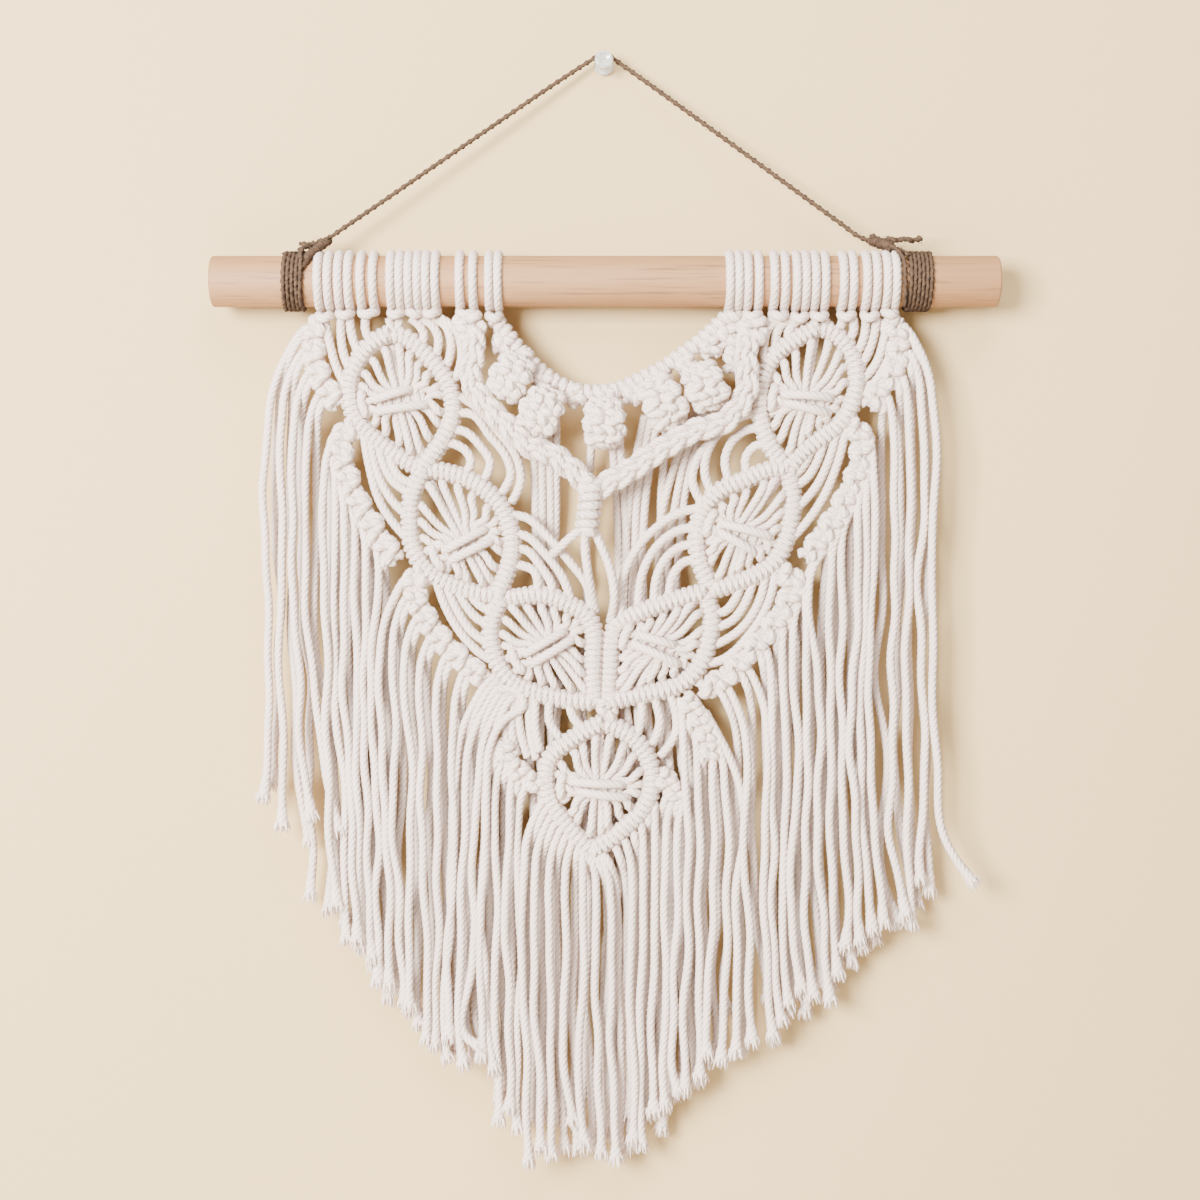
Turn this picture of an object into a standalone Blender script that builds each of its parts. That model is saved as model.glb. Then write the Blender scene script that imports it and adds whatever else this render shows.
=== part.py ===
"""Macrame wall hanging: knotted cotton cord on a wooden dowel, hung by jute twine from a push pin.

Modelled in millimetres and scaled to metres when each solid is made. +Z is up, +X is to the right
of someone facing the hanging, and the wall is the plane y = 0 behind it. The origin is the middle
of the pin's flange on the wall. Each name in a table below is a column, and lengths are in mm.
"""
import math
from collections import namedtuple

import bmesh
import bpy
from mathutils import Matrix, Vector

METRES = 0.001

# ---- driving sizes ---------------------------------------------------------------------------
GAP = 0.3                    # clearance between touching solids
CORD = 4.4                   # cotton cord, across
CORD_FLAT = 3.0              # the same cord where it is pressed on the dowel, and
CORD_ON_DOWEL = 4.2          # its width there
TWINE = 3.0                  # jute twine, across
TWINE_GROOVE = 0.62          # how high it stands between two turns of a binding, as a share

DOWEL_DIAMETER = 25.4
DOWEL_LEFT = -196.0
DOWEL_RIGHT = 197.0
DOWEL_CHAMFER = 1.2
DOWEL_SIDES = 24
HOOP_SIDES = 8
BINDING_SIDES = 12
DOWEL_Z = -112.6
HANG_Y = -17.4               # the plane of the knotting, on the dowel's axis
BACK_Y = -8.4                # strands that hang behind the knotting
FRONT_Y = -26.5              # the plaited yoke, in front of the rings
KNOT_FORWARD = 1.0           # knots stand this far in front of that plane

RING_BAR = 8.4               # knotted bar round each leaf, across its ridges,
RING_GROOVE = 7.2            # and between them
CHAIN_BAR = 10.5             # square-knot chain, across a knot
CHAIN_WAIST = 6.0
CHAIN_FLAT = 0.8             # its depth, as a share of its width
COLLAR_BAR = 6.4
COLLAR_GROOVE = 5.1
BERRY_DEPTH = 20.0
BRAID = 9.4                  # a plait, across its crossings,
BRAID_WAIST = 7.5            # and between them
BRAID_FLAT = 0.72
SQUARE_KNOT = 13.6           # the knot at the head of each plait
BUNDLE_RIDGE = 12.5          # the bound bundle, across its turns,
BUNDLE_GROOVE = 11.0         # and between them
BUNDLE_TOP = 9.0
HEAD_BAR = 5.1               # the cord across a lark's head, under the dowel
FRINGE_LAYERS = (-12.6, -17.6, -22.6)
SHOULDER_DROP = 8.0          # below its knot a cord of the fringe turns down,
FALL_DROP = 34.0             # and here it hangs straight

# ---- short tables ------------------------------------------------------------------------------
Pin = namedtuple("Pin", "y radius")
PIN_PROFILE = (Pin(0.0, 5.0), Pin(-1.4, 5.0), Pin(-2.2, 2.9), Pin(-6.0, 2.2), Pin(-9.6, 2.9),
               Pin(-10.4, 4.4), Pin(-12.6, 4.6), Pin(-13.2, 4.1))

# a lark's head: the places of its two cords along the dowel, and the solid that it belongs to
Head = namedtuple("Head", "first second solid")
HEADS = (
    Head(-141.2, -136.4, "net_left"), Head(-131.4, -126.6, "net_left"),
    Head(-120.2, -114.6, "net_left"), Head(-106.2, -101.4, "net_left"),
    Head(-96.8, -92.2, "net_left"), Head(-87.6, -83.0, "net_left"),
    Head(-71.6, -65.2, "braid_yoke"), Head(-57.2, -52.4, "collar"),
    Head(62.0, 66.6, "collar"), Head(71.6, 77.0, "braid_yoke"),
    Head(85.2, 90.6, "net_right"), Head(95.8, 100.6, "net_right"),
    Head(105.2, 110.0, "net_right"), Head(119.2, 124.2, "net_right"),
    Head(130.2, 135.0, "net_right"), Head(140.2, 145.0, "net_right"))

# a leaf is a closed bar from a top tip to a bottom tip: how far each side stands out from the
# straight line between them at a quarter, a half and three quarters of the way down, then the
# middle of its spokes and the tilt of the band that gathers them
Leaf = namedtuple("Leaf", "solid top_x top_z foot_x foot_z left right core_x core_z tilt")
LEAVES = (
    Leaf("net_left", -107.5, -139.0, -91.5, -206.5, (24, 26.5, 17), (20, 23, 16.5),
         -103.0, -172.5, 12),
    Leaf("net_left", -90.0, -206.5, -53.5, -270.0, (19, 25, 18.5), (18.5, 24.5, 19),
         -71.5, -243.5, 22),
    Leaf("net_left", -50.5, -270.5, -7.0, -322.0, (20, 22.5, 13), (15.5, 22, 12.5),
         -30.0, -294.5, 26),
    Leaf("net_right", 107.0, -135.5, 92.5, -206.5, (17.5, 21.5, 16.5), (23.5, 24, 13),
         101.0, -172.5, -8),
    Leaf("net_right", 92.0, -206.5, 54.0, -267.0, (17, 25, 20), (13.5, 19, 14.5),
         66.0, -239.5, -16),
    Leaf("net_right", 50.5, -268.0, 4.0, -322.0, (11.5, 20, 14), (18.5, 23, 13.5),
         26.0, -296.5, -18),
    Leaf("pendant", -1.0, -333.5, -6.0, -397.0, (21.5, 25.5, 17.5), (24.5, 27, 18.5),
         -3.5, -366.5, -7))
LEAF_RIDGES = 6              # ridges on each side of a leaf
LEAF_SPOKES = 5              # cords above the band, and as many below it
SPOKE_SPREAD = (22, 158)     # degrees, from the band's own line
RIM_POINTS = 60              # places on each side where a spoke may end
CORE_LENGTH = 23.0
CORE_DIAMETER = 9.0

# a cord that joins two knotted bars, by four points across and down
Tie = namedtuple("Tie", "solid x1 z1 x2 z2 x3 z3 x4 z4")
TIES = (
    Tie("net_left", -137.5, -131, -136, -147, -133, -158, -128, -166),
    Tie("net_left", -129.5, -131, -130, -145, -128.5, -151, -125, -157),
    Tie("net_left", -117, -130, -117, -136, -115.5, -141, -113, -147),
    Tie("net_left", -103, -130, -104, -134, -105.5, -137, -107, -140),
    Tie("net_left", -93, -131, -90, -136, -89.5, -140, -92, -144),
    Tie("net_left", -86, -131, -82.5, -138, -82, -146, -84, -152),
    Tie("net_left", -82, -131, -77, -141, -75.5, -152, -79, -160),
    Tie("net_left", -121, -196, -117.5, -211, -111, -223, -99, -238),
    Tie("net_left", -114, -200, -111, -212.5, -104, -222, -98, -228),
    Tie("net_left", -104.5, -203, -103, -210, -100, -215, -96, -219),
    Tie("net_left", -80.5, -171, -58, -186, -44, -208, -47.5, -222),
    Tie("net_left", -79.5, -180, -60, -190, -50, -206, -53, -219),
    Tie("net_left", -80.5, -189, -64, -196, -59, -204, -62, -213),
    Tie("net_left", -49, -229, -33, -238, -18.5, -253, -12, -275),
    Tie("net_left", -47, -240, -31, -249, -21, -261, -17.5, -272),
    Tie("net_left", -47.5, -250, -33.5, -255, -28, -262, -27, -270),
    Tie("net_left", -84.5, -264, -77.5, -279.5, -69, -292, -57, -303),
    Tie("net_left", -78, -268, -72, -280.5, -65, -289, -57, -294),
    Tie("net_left", -69.5, -269, -66, -277, -62, -282, -56, -285),
    Tie("net_right", 136.5, -131, 134, -148, 131, -159, 126.5, -168),
    Tie("net_right", 128, -131, 129, -144, 127.5, -151, 124, -157),
    Tie("net_right", 121, -130, 121.5, -136, 120.5, -141, 118, -146),
    Tie("net_right", 108, -130, 108, -133, 107.5, -135, 107, -138),
    Tie("net_right", 98, -130, 99, -134, 100.5, -137, 102, -140),
    Tie("net_right", 90, -131, 91.5, -136, 92, -140, 95, -144),
    Tie("net_right", 86, -131, 85.5, -141, 84.5, -149, 87, -154),
    Tie("net_right", 118, -190, 113, -206.5, 105, -222, 95, -238),
    Tie("net_right", 112.5, -195, 108, -208, 102, -217, 95, -224),
    Tie("net_right", 104, -201, 102.5, -207, 100, -212, 94, -216),
    Tie("net_right", 78, -172, 59.5, -187, 46.5, -203, 49, -219),
    Tie("net_right", 78, -181, 61, -190.5, 53.5, -202, 56, -213),
    Tie("net_right", 79, -190, 66, -195, 62, -203, 63, -210),
    Tie("net_right", 48.5, -225, 26.5, -235, 15, -250, 9.5, -277),
    Tie("net_right", 47, -235, 30, -242, 21, -256, 18.5, -274),
    Tie("net_right", 47, -244, 34, -249, 28, -260, 27, -271),
    Tie("net_right", 84, -261, 80, -276, 70.5, -291, 55, -301),
    Tie("net_right", 77, -264, 74, -276, 66, -285, 53.5, -291),
    Tie("net_right", 69.5, -266, 68, -274, 62, -279, 53, -282),
    Tie("pendant", -33.5, -328.2, -35, -335, -33, -343, -26, -349),
    Tie("pendant", -25, -322.4, -26.5, -331, -22, -338, -17, -340),
    Tie("pendant", 20, -329.2, 20.5, -333, 17, -338, 12, -340),
    Tie("pendant", 29.5, -326.6, 31.5, -334, 28, -344, 21, -350))

# a chain of square knots with the cords of the fringe that start on its outer side
Fringe = namedtuple("Fringe", "solid x1 z1 x2 z2 bulge knots strands "
                              "fall_first fall_last tip_x_first tip_x_last tip_z_first tip_z_last")
FRINGES = (
    Fringe("fringe_left_1", -148.5, -135.5, -135.0, -170.5, 2.5, 4, 8,
           -170, -144, -169, -138, -371, -432),
    Fringe("fringe_left_2", -131.5, -189.5, -107.5, -248.5, 6.5, 6, 13,
           -140, -115, -133, -91, -438, -490),
    Fringe("fringe_left_3", -98.0, -266.5, -64.0, -310.5, 5.5, 6, 12,
           -110, -56, -86.5, -51.5, -494, -530),
    Fringe("fringe_right_1", 150.0, -135.5, 134.5, -173.0, -2.5, 4, 8,
           167, 147, 178, 150, -414, -440),
    Fringe("fringe_right_2", 129.0, -190.0, 102.5, -247.5, -6.5, 6, 13,
           143, 117, 145.5, 118, -432, -466),
    Fringe("fringe_right_3", 94.0, -266.0, 62.0, -309.5, -5.5, 6, 11,
           112.5, 73, 113.5, 75.5, -470, -500))
# a cord from a ring's bar, short of it by the gap, into the chain that it hangs from
Link = namedtuple("Link", "solid x1 z1 x2 z2")
LINKS = (
    Link("fringe_left_2", -131.5, -189.5, -125.6, -186.35),
    Link("fringe_left_3", -98.0, -266.5, -91.7, -259.6),
    Link("fringe_right_1", 134.5, -173.0, 129.7, -170.9),
    Link("fringe_right_2", 129.0, -190.0, 122.95, -183.4),
    Link("fringe_right_3", 94.0, -266.0, 85.35, -263.55))
RAGGED = 7.0                 # how far the cut ends of neighbouring cords differ

# the cords that hang from the pendant: a row for each part of it that they start from
Spray = namedtuple("Spray", "x1 z1 x2 z2 strands fall_first fall_last tip_z_first tip_z_last")
PENDANT_SPRAYS = (
    Spray(-50.5, -346.5, -36, -361.5, 4, -50, -37, -534, -548),
    Spray(-31, -372, -8, -396, 5, -32, -13, -552, -549),
    Spray(-4, -396, 18, -379, 5, -6, 14, -552, -546),
    Spray(33, -366, 41, -366, 3, 19, 28.5, -540, -526),
    Spray(41.5, -327, 50, -334, 8, 35, 68, -518, -500))
PENDANT_CHAINS = ((-51.0, -345.0, -28.5, -370.0, 3), (25.5, -366.0, 38.0, -364.0, 2),
                  (39.0, -323.0, 51.0, -336.0, 2))

Point = namedtuple("Point", "x z")
COLLAR_LINE = (Point(-54.8, -131), Point(-49, -139), Point(-42.5, -147), Point(-33, -155.5),
               Point(-24, -161.5), Point(-14, -165.5), Point(-3.5, -167), Point(7.5, -165.5),
               Point(18.5, -160.5), Point(26.5, -156.5), Point(37.5, -149.5), Point(48.5, -141),
               Point(58, -133), Point(64.3, -129.5))
Berry = namedtuple("Berry", "x z width height")
BERRIES = (Berry(-48, -161.5, 20.7, 20.7), Berry(-30, -177.5, 20.7, 20.7),
           Berry(0.8, -183.5, 21.2, 22.1), Berry(27.8, -173.3, 20.7, 20.7),
           Berry(52, -166, 20.7, 20.7))
BRAID_LEFT = (Point(-68.4, -134), Point(-65, -147), Point(-65.5, -163), Point(-58.5, -175.5),
              Point(-47.5, -187), Point(-36.5, -196), Point(-25.5, -200.5), Point(-17.5, -206),
              Point(-9.5, -214.5))
BRAID_RIGHT = (Point(74.3, -134), Point(72.5, -148), Point(70.5, -166), Point(60.5, -180),
               Point(46, -188.5), Point(33.5, -194.5), Point(22.5, -201), Point(11.5, -208.5),
               Point(-1, -215.5))
WRAP_START = Point(-5.5, -209)
WRAP_TOP = Point(-5.5, -217)
WRAP_FOOT = Point(-9, -238)
YOKE_TAILS = ((-13, -236, -19.5, -247), (-10.5, -238, -15.5, -256), (-5.5, -238, -3.5, -268),
              (-7.5, -238, -8, -262))

# cords behind the knotting: where each starts under the berries, and where it is cut
Back = namedtuple("Back", "x1 z1 x2 tip_z")
BACKS = (Back(-36, -180, -38, -520), Back(-31, -182, -30, -538), Back(-25, -180, -22, -536),
         Back(-5, -187, -12, -542), Back(1, -188, 0, -541), Back(7, -187, 11, -540),
         Back(23, -177, 20, -530), Back(28, -178, 28, -538), Back(33, -177, 35, -530),
         Back(50, -169, 46, -508))

Turns = namedtuple("Turns", "x_first x_last count")
WRAP_LEFT = Turns(-160.5, -149.0, 4)
WRAP_RIGHT = Turns(149.2, 162.6, 5)
TWINE_LEFT_END = Vector((-152.5, HANG_Y, -93.6))
TWINE_RIGHT_END = Vector((136.7, HANG_Y, -93.0))
TWINE_TWIST = 18.0           # length of one full turn of the two plies
TWIST_ROWS = 5
KNOT_PLACE = Vector((140.4, HANG_Y, -92.4))
KNOT_TAIL = Vector((159.5, HANG_Y - 1, -91.8))

COTTON = (0.84, 0.79, 0.74, 1.0)
JUTE = (0.28, 0.17, 0.10, 1.0)
PINE = (0.76, 0.60, 0.44, 1.0)
CLEAR_PLASTIC = (0.85, 0.88, 0.88, 1.0)


# ---- curves ------------------------------------------------------------------------------------
def smooth(points, count):
    """Points evenly spread along the smooth curve (Catmull-Rom) through the given ones."""
    ends = [points[0] * 2 - points[1]] + list(points) + [points[-1] * 2 - points[-2]]
    fine = []
    for i in range(len(points) - 1):
        before, start, end, after = ends[i:i + 4]
        for step in range(12):
            t = step / 12
            fine.append(0.5 * (2 * start + (end - before) * t
                               + (2 * before - 5 * start + 4 * end - after) * t ** 2
                               + (3 * start - before - 3 * end + after) * t ** 3))
    fine.append(points[-1].copy())
    reach = [0.0]
    for a, b in zip(fine, fine[1:]):
        reach.append(reach[-1] + (b - a).length)
    spread = [fine[0]]
    for k in range(1, count - 1):
        goal = reach[-1] * k / (count - 1)
        i = next(n for n, length in enumerate(reach) if length >= goal)
        spread.append(fine[i - 1].lerp(fine[i], (goal - reach[i - 1]) / (reach[i] - reach[i - 1])))
    return spread + [fine[-1]]


def at(x, z, y=HANG_Y):
    return Vector((x, y, z))


def leaf_side(leaf, side, count):
    """Points down one side of a leaf, on the smooth curve through its three bulges."""
    top = at(leaf.top_x, leaf.top_z)
    foot = at(leaf.foot_x, leaf.foot_z)
    down = foot - top
    out = Vector((down.z, 0, -down.x)).normalized()
    if (out.x < 0) != (side == "left"):
        out = -out
    bulges = leaf.left if side == "left" else leaf.right
    stations = [top] + [top + down * share + out * bulge
                        for share, bulge in zip((0.25, 0.5, 0.75), bulges)] + [foot]
    return smooth(stations, count)


# ---- solids ------------------------------------------------------------------------------------
def upright(place, along):
    """Carries the XY plane to a cross-section of a cord at place, with its Y axis to the wall."""
    depth = Vector((0, 1, 0)) if abs(along.y) < 0.9 else Vector((0, 0, 1))
    across = depth.cross(along).normalized()
    depth = along.cross(across).normalized()
    return Matrix.Translation(place) @ Matrix((across, depth, along)).transposed().to_4x4()


def cord(path, widths, sides=4, depths=None, turn_step=0.0, start_turn=0.0):
    """A closed cord: a polygon extruded from point to point, as wide and deep as asked for."""
    depths = depths or widths
    bm = bmesh.new()
    bmesh.ops.create_circle(bm, cap_ends=True, radius=1.0, segments=sides)
    placed = Matrix.Identity(4)
    section = bm.faces[:][0]
    for i, place in enumerate(path):
        along = (path[min(i + 1, len(path) - 1)] - path[max(i - 1, 0)]).normalized()
        size = Matrix.Diagonal((widths[i] / 2, depths[i] / 2, 1, 1))
        frame = (upright(place, along) @ Matrix.Rotation(start_turn + turn_step * i, 4, "Z") @ size)
        if i:
            cap = [section] + section.edges[:]
            made = bmesh.ops.extrude_face_region(bm, geom=cap)["geom"]
            section = next(part for part in made if isinstance(part, bmesh.types.BMFace))
            verts = [part for part in made if isinstance(part, bmesh.types.BMVert)]
        else:
            verts = bm.verts[:]
        bmesh.ops.transform(bm, matrix=frame @ placed.inverted(), verts=verts)
        placed = frame
    if turn_step:
        bmesh.ops.triangulate(bm, faces=bm.faces)
    return closed(bm)


def closed(bm):
    bmesh.ops.recalc_face_normals(bm, faces=bm.faces)
    return bm


def plain_cord(points, count=5, width=CORD, end_width=None):
    """A three-sided cord along a smooth route; it may thin towards its ends."""
    end_width = end_width or width
    widths = [end_width] + [width] * (count - 2) + [end_width]
    return cord(smooth(points, count), widths, 3)


def ridged(path, ridge, groove, sides=5, end=None, flat=1.0):
    """A knotted bar: its width swings between groove and ridge from row to row."""
    widths = [ridge if i % 2 else groove for i in range(len(path))]
    if end:
        widths[0] = widths[-1] = end
    return cord(path, widths, sides, [width * flat for width in widths])


def hoop(x):
    """One cord of a lark's head, closed round the dowel."""
    inner = (DOWEL_DIAMETER / 2 + GAP) / math.cos(math.pi / HOOP_SIDES)
    bm = bmesh.new()
    middle = Vector((x, HANG_Y, DOWEL_Z))
    section = ((-0.5, 0.0), (0.5, 0.0), (0.0, 1.0))
    rim = [bm.verts.new(middle + Vector((across * CORD_ON_DOWEL, inner + deep * CORD_FLAT, 0)))
           for across, deep in section]
    for a, b in zip(rim, rim[1:] + rim[:1]):
        bm.edges.new((a, b))
    bmesh.ops.spin(bm, geom=bm.verts[:] + bm.edges[:], cent=middle, axis=(1, 0, 0),
                   angle=math.tau, steps=HOOP_SIDES, use_merge=True)
    return closed(bm)


def lathe_y(profile, centre, steps):
    """A turned solid round a Y axis through centre, from (y, radius) pairs at its outline."""
    bm = bmesh.new()
    rim = [bm.verts.new(centre + Vector((radius, y, 0))) for y, radius in profile]
    for a, b in zip(rim, rim[1:]):
        bm.edges.new((a, b))
    bmesh.ops.spin(bm, geom=bm.verts[:] + bm.edges[:], cent=centre, axis=(0, 1, 0),
                   angle=math.tau, steps=steps, use_merge=True)
    bmesh.ops.remove_doubles(bm, verts=bm.verts, dist=1e-4)
    return closed(bm)


def sleeve(turns):
    """Twine wound round the dowel, as one ridged ring."""
    inner = (DOWEL_DIAMETER / 2 + GAP) / math.cos(math.pi / BINDING_SIDES)
    pitch = (turns.x_last - turns.x_first) / turns.count
    outline = [(turns.x_first, inner)]
    for i in range(turns.count):
        outline.append((turns.x_first + pitch * i, inner + TWINE * TWINE_GROOVE))
        outline.append((turns.x_first + pitch * (i + 0.5), inner + TWINE))
    outline += [(turns.x_last, inner + TWINE * TWINE_GROOVE), (turns.x_last, inner)]
    bm = bmesh.new()
    rim = [bm.verts.new((x, HANG_Y + radius, DOWEL_Z)) for x, radius in outline]
    for a, b in zip(rim, rim[1:] + rim[:1]):
        bm.edges.new((a, b))
    bmesh.ops.spin(bm, geom=bm.verts[:] + bm.edges[:], cent=(0, HANG_Y, DOWEL_Z),
                   axis=(1, 0, 0), angle=math.tau, steps=BINDING_SIDES, use_merge=True)
    return closed(bm)


def lump(centre, width, depth, height, rounds=8, rows=5, ridge=1.0):
    """A knot rolled up into a ball: rows of loops stand out by ridge."""
    bm = bmesh.new()
    bmesh.ops.create_uvsphere(bm, u_segments=rounds, v_segments=rows, radius=0.5)
    for vert in bm.verts:
        row = round((0.5 - vert.co.z) * rows)
        across = math.atan2(vert.co.y, vert.co.x)
        column = round(across / math.tau * rounds)
        if abs(vert.co.z) < 0.49 and (row + column) % 2:
            vert.co *= 1 + ridge / width
    bmesh.ops.transform(bm, matrix=Matrix.Translation(centre)
                        @ Matrix.Diagonal((width, depth, height, 1)), verts=bm.verts)
    return closed(bm)


# ---- objects -----------------------------------------------------------------------------------
def material(name, colour, roughness):
    finish = bpy.data.materials.new(name)
    finish.use_nodes = True
    shader = finish.node_tree.nodes["Principled BSDF"]
    shader.inputs["Base Color"].default_value = colour
    shader.inputs["Roughness"].default_value = roughness
    shader.inputs["Metallic"].default_value = 0.0
    return finish


def scene_object(name, bm, finish, collection):
    """Turns a bmesh in millimetres into an object in metres."""
    bmesh.ops.scale(bm, vec=(METRES,) * 3, verts=bm.verts)
    mesh = bpy.data.meshes.new(name)
    bm.to_mesh(mesh)
    bm.free()
    mesh.materials.append(finish)
    made = bpy.data.objects.new(name, mesh)
    collection.objects.link(made)
    return made


def knot_together(name, pieces, finish):
    """Fuses the pieces of one knotted part into one closed solid."""
    scene = bpy.context.scene
    fused = scene_object(name, pieces[0], finish, scene.collection)
    if len(pieces) > 1:
        others = bpy.data.collections.new(name + "_cords")
        scene.collection.children.link(others)
        tools = [scene_object(f"{name}_{i}", piece, finish, others)
                 for i, piece in enumerate(pieces[1:])]
        union = fused.modifiers.new("knots", "BOOLEAN")
        union.operation = "UNION"
        union.operand_type = "COLLECTION"
        union.collection = others
        union.solver = "EXACT"
        bpy.context.view_layer.update()
        joined = bpy.data.meshes.new_from_object(
            fused.evaluated_get(bpy.context.evaluated_depsgraph_get()))
        fused.modifiers.clear()
        fused.data = joined
        for tool in tools:
            bpy.data.objects.remove(tool, do_unlink=True)
        bpy.data.collections.remove(others)
    fused.data.shade_smooth()
    fused.data.set_sharp_from_angle(angle=math.radians(50))
    return fused


# ---- parts of the hanging ----------------------------------------------------------------------
def head_pieces(solid):
    """The lark's heads of one solid: two hoops each, with the bar under the dowel."""
    pieces = []
    bar_z = DOWEL_Z - DOWEL_DIAMETER / 2 - CORD_FLAT - HEAD_BAR * 0.3
    for head in HEADS:
        if head.solid == solid:
            pieces += [hoop(head.first), hoop(head.second)]
            ends = [at(head.first - CORD / 2, bar_z, HANG_Y - KNOT_FORWARD),
                    at(head.second + CORD / 2, bar_z, HANG_Y - KNOT_FORWARD)]
            pieces.append(cord(ends, [HEAD_BAR] * 2, 4, start_turn=math.radians(45)))
    return pieces


def leaf_pieces(leaf):
    """The bars round one leaf, its gathered middle and its spokes."""
    pieces = [ridged(leaf_side(leaf, side, 2 * LEAF_RIDGES + 1), RING_BAR, RING_GROOVE, 5,
                     end=RING_GROOVE * 0.72) for side in ("left", "right")]
    core = at(leaf.core_x, leaf.core_z, HANG_Y - KNOT_FORWARD)
    tilt = math.radians(leaf.tilt)
    along = Vector((math.cos(tilt), 0, math.sin(tilt)))
    knot = [core + along * CORE_LENGTH * share for share in (-0.5, -0.38, 0.0, 0.38, 0.5)]
    pieces.append(cord(knot, [4.5, CORE_DIAMETER, CORE_DIAMETER * 0.92, CORE_DIAMETER, 4.5], 6))
    rim = leaf_side(leaf, "left", RIM_POINTS) + leaf_side(leaf, "right", RIM_POINTS)
    first, last = SPOKE_SPREAD
    for half in (1, -1):
        for i in range(LEAF_SPOKES):
            turn = first + (last - first) * i / (LEAF_SPOKES - 1)
            angle = tilt + half * math.radians(turn)
            ray = Vector((math.cos(angle), 0, math.sin(angle)))
            edge = max(rim, key=lambda point: (point - at(core.x, core.z)).normalized().dot(ray))
            inner = core + along * CORE_LENGTH * 0.36 * math.cos(math.radians(turn)) + ray * 1.5
            pieces.append(cord([inner, edge], [CORD * 0.6, CORD], 3))
    return pieces


def tie_pieces(solid):
    return [plain_cord([at(tie.x1, tie.z1), at(tie.x2, tie.z2), at(tie.x3, tie.z3),
                        at(tie.x4, tie.z4)], 4, CORD * 0.95)
            for tie in TIES if tie.solid == solid]


def net(name, finish):
    pieces = head_pieces(name) + tie_pieces(name)
    for leaf in LEAVES:
        if leaf.solid == name:
            pieces += leaf_pieces(leaf)
    return knot_together(name, pieces, finish)


def chain_line(x1, z1, x2, z2, bulge, count):
    """Points along a chain, on an arc that stands out to one side."""
    start, end = at(x1, z1), at(x2, z2)
    out = Vector((-1, 0, (x2 - x1) / (z2 - z1))).normalized()
    return [start.lerp(end, k / (count - 1))
            + out * bulge * 4 * (k / (count - 1)) * (1 - k / (count - 1)) for k in range(count)]


def hanging_cord(root, fall_x, tip, layer, width=CORD):
    """One cord of the fringe: out of its knot, over a shoulder and down to its cut end."""
    outward = 1 if fall_x > root.x else -1
    shoulder = Vector((root.x + (fall_x - root.x) * 0.62 + outward * 0.8, (root.y + layer) / 2,
                       root.z - SHOULDER_DROP))
    drop = Vector((fall_x, layer, root.z - FALL_DROP))
    return cord([root, shoulder, drop, tip], [width * 0.8, width, width, width * 1.1], 3,
                start_turn=math.radians(30))


def ragged(i):
    return RAGGED * (0.6 * math.sin(2.4 * i + 1.0) + 0.4 * math.sin(5.3 * i))


def layer_of(i):
    """Neighbouring cords of the fringe hang one behind another."""
    return FRINGE_LAYERS[i % len(FRINGE_LAYERS)]


def fringe(row, finish):
    before = sum(other.strands for other in FRINGES[:FRINGES.index(row)]
                 if (other.x1 < 0) == (row.x1 < 0))
    line = chain_line(row.x1, row.z1, row.x2, row.z2, row.bulge, 2 * row.knots + 1)
    pieces = [ridged(line, CHAIN_BAR, CHAIN_WAIST, 6, flat=CHAIN_FLAT)]
    pieces += [cord([at(link.x1, link.z1), at(link.x2, link.z2)], [CORD, CORD * 0.6], 3)
               for link in LINKS if link.solid == row.solid]
    side = -1 if row.fall_first < 0 else 1
    for i in range(row.strands):
        share = i / (row.strands - 1)
        spot = line[round(share * (len(line) - 1))].lerp(
            line[min(round(share * (len(line) - 1)) + 1, len(line) - 1)], 0.3)
        root = spot + Vector((side * CHAIN_BAR * 0.12, 0, 0))
        fall = row.fall_first + (row.fall_last - row.fall_first) * share
        layer = layer_of(before + i)
        tip = Vector((row.tip_x_first + (row.tip_x_last - row.tip_x_first) * share, layer,
                      row.tip_z_first + (row.tip_z_last - row.tip_z_first) * share + ragged(i)))
        pieces.append(hanging_cord(root, fall, tip, layer))
    return knot_together(row.solid, pieces, finish)


def pendant(finish):
    pieces = leaf_pieces(LEAVES[-1]) + tie_pieces("pendant")
    for x1, z1, x2, z2, knots in PENDANT_CHAINS:
        pieces.append(ridged(chain_line(x1, z1, x2, z2, 0, 2 * knots + 1), CHAIN_BAR * 0.9,
                             CHAIN_WAIST, 6))
    count = sum(row.strands for row in FRINGES if row.x1 < 0)
    for row in PENDANT_SPRAYS:
        for i in range(row.strands):
            share = i / (row.strands - 1)
            root = at(row.x1 + (row.x2 - row.x1) * share, row.z1 + (row.z2 - row.z1) * share)
            fall = row.fall_first + (row.fall_last - row.fall_first) * share
            layer = layer_of(count)
            tip_z = row.tip_z_first + (row.tip_z_last - row.tip_z_first) * share + ragged(count) / 2
            pieces.append(hanging_cord(root, fall, Vector((fall, layer, tip_z)), layer))
            count += 1
    return knot_together("pendant", pieces, finish)


def plait(line, rows):
    """Three cords laid over each other in turn, along a line."""
    path = smooth([at(point.x, point.z, FRONT_Y) for point in line], rows)
    return ridged(path, BRAID, BRAID_WAIST, 6, flat=BRAID_FLAT)


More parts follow.
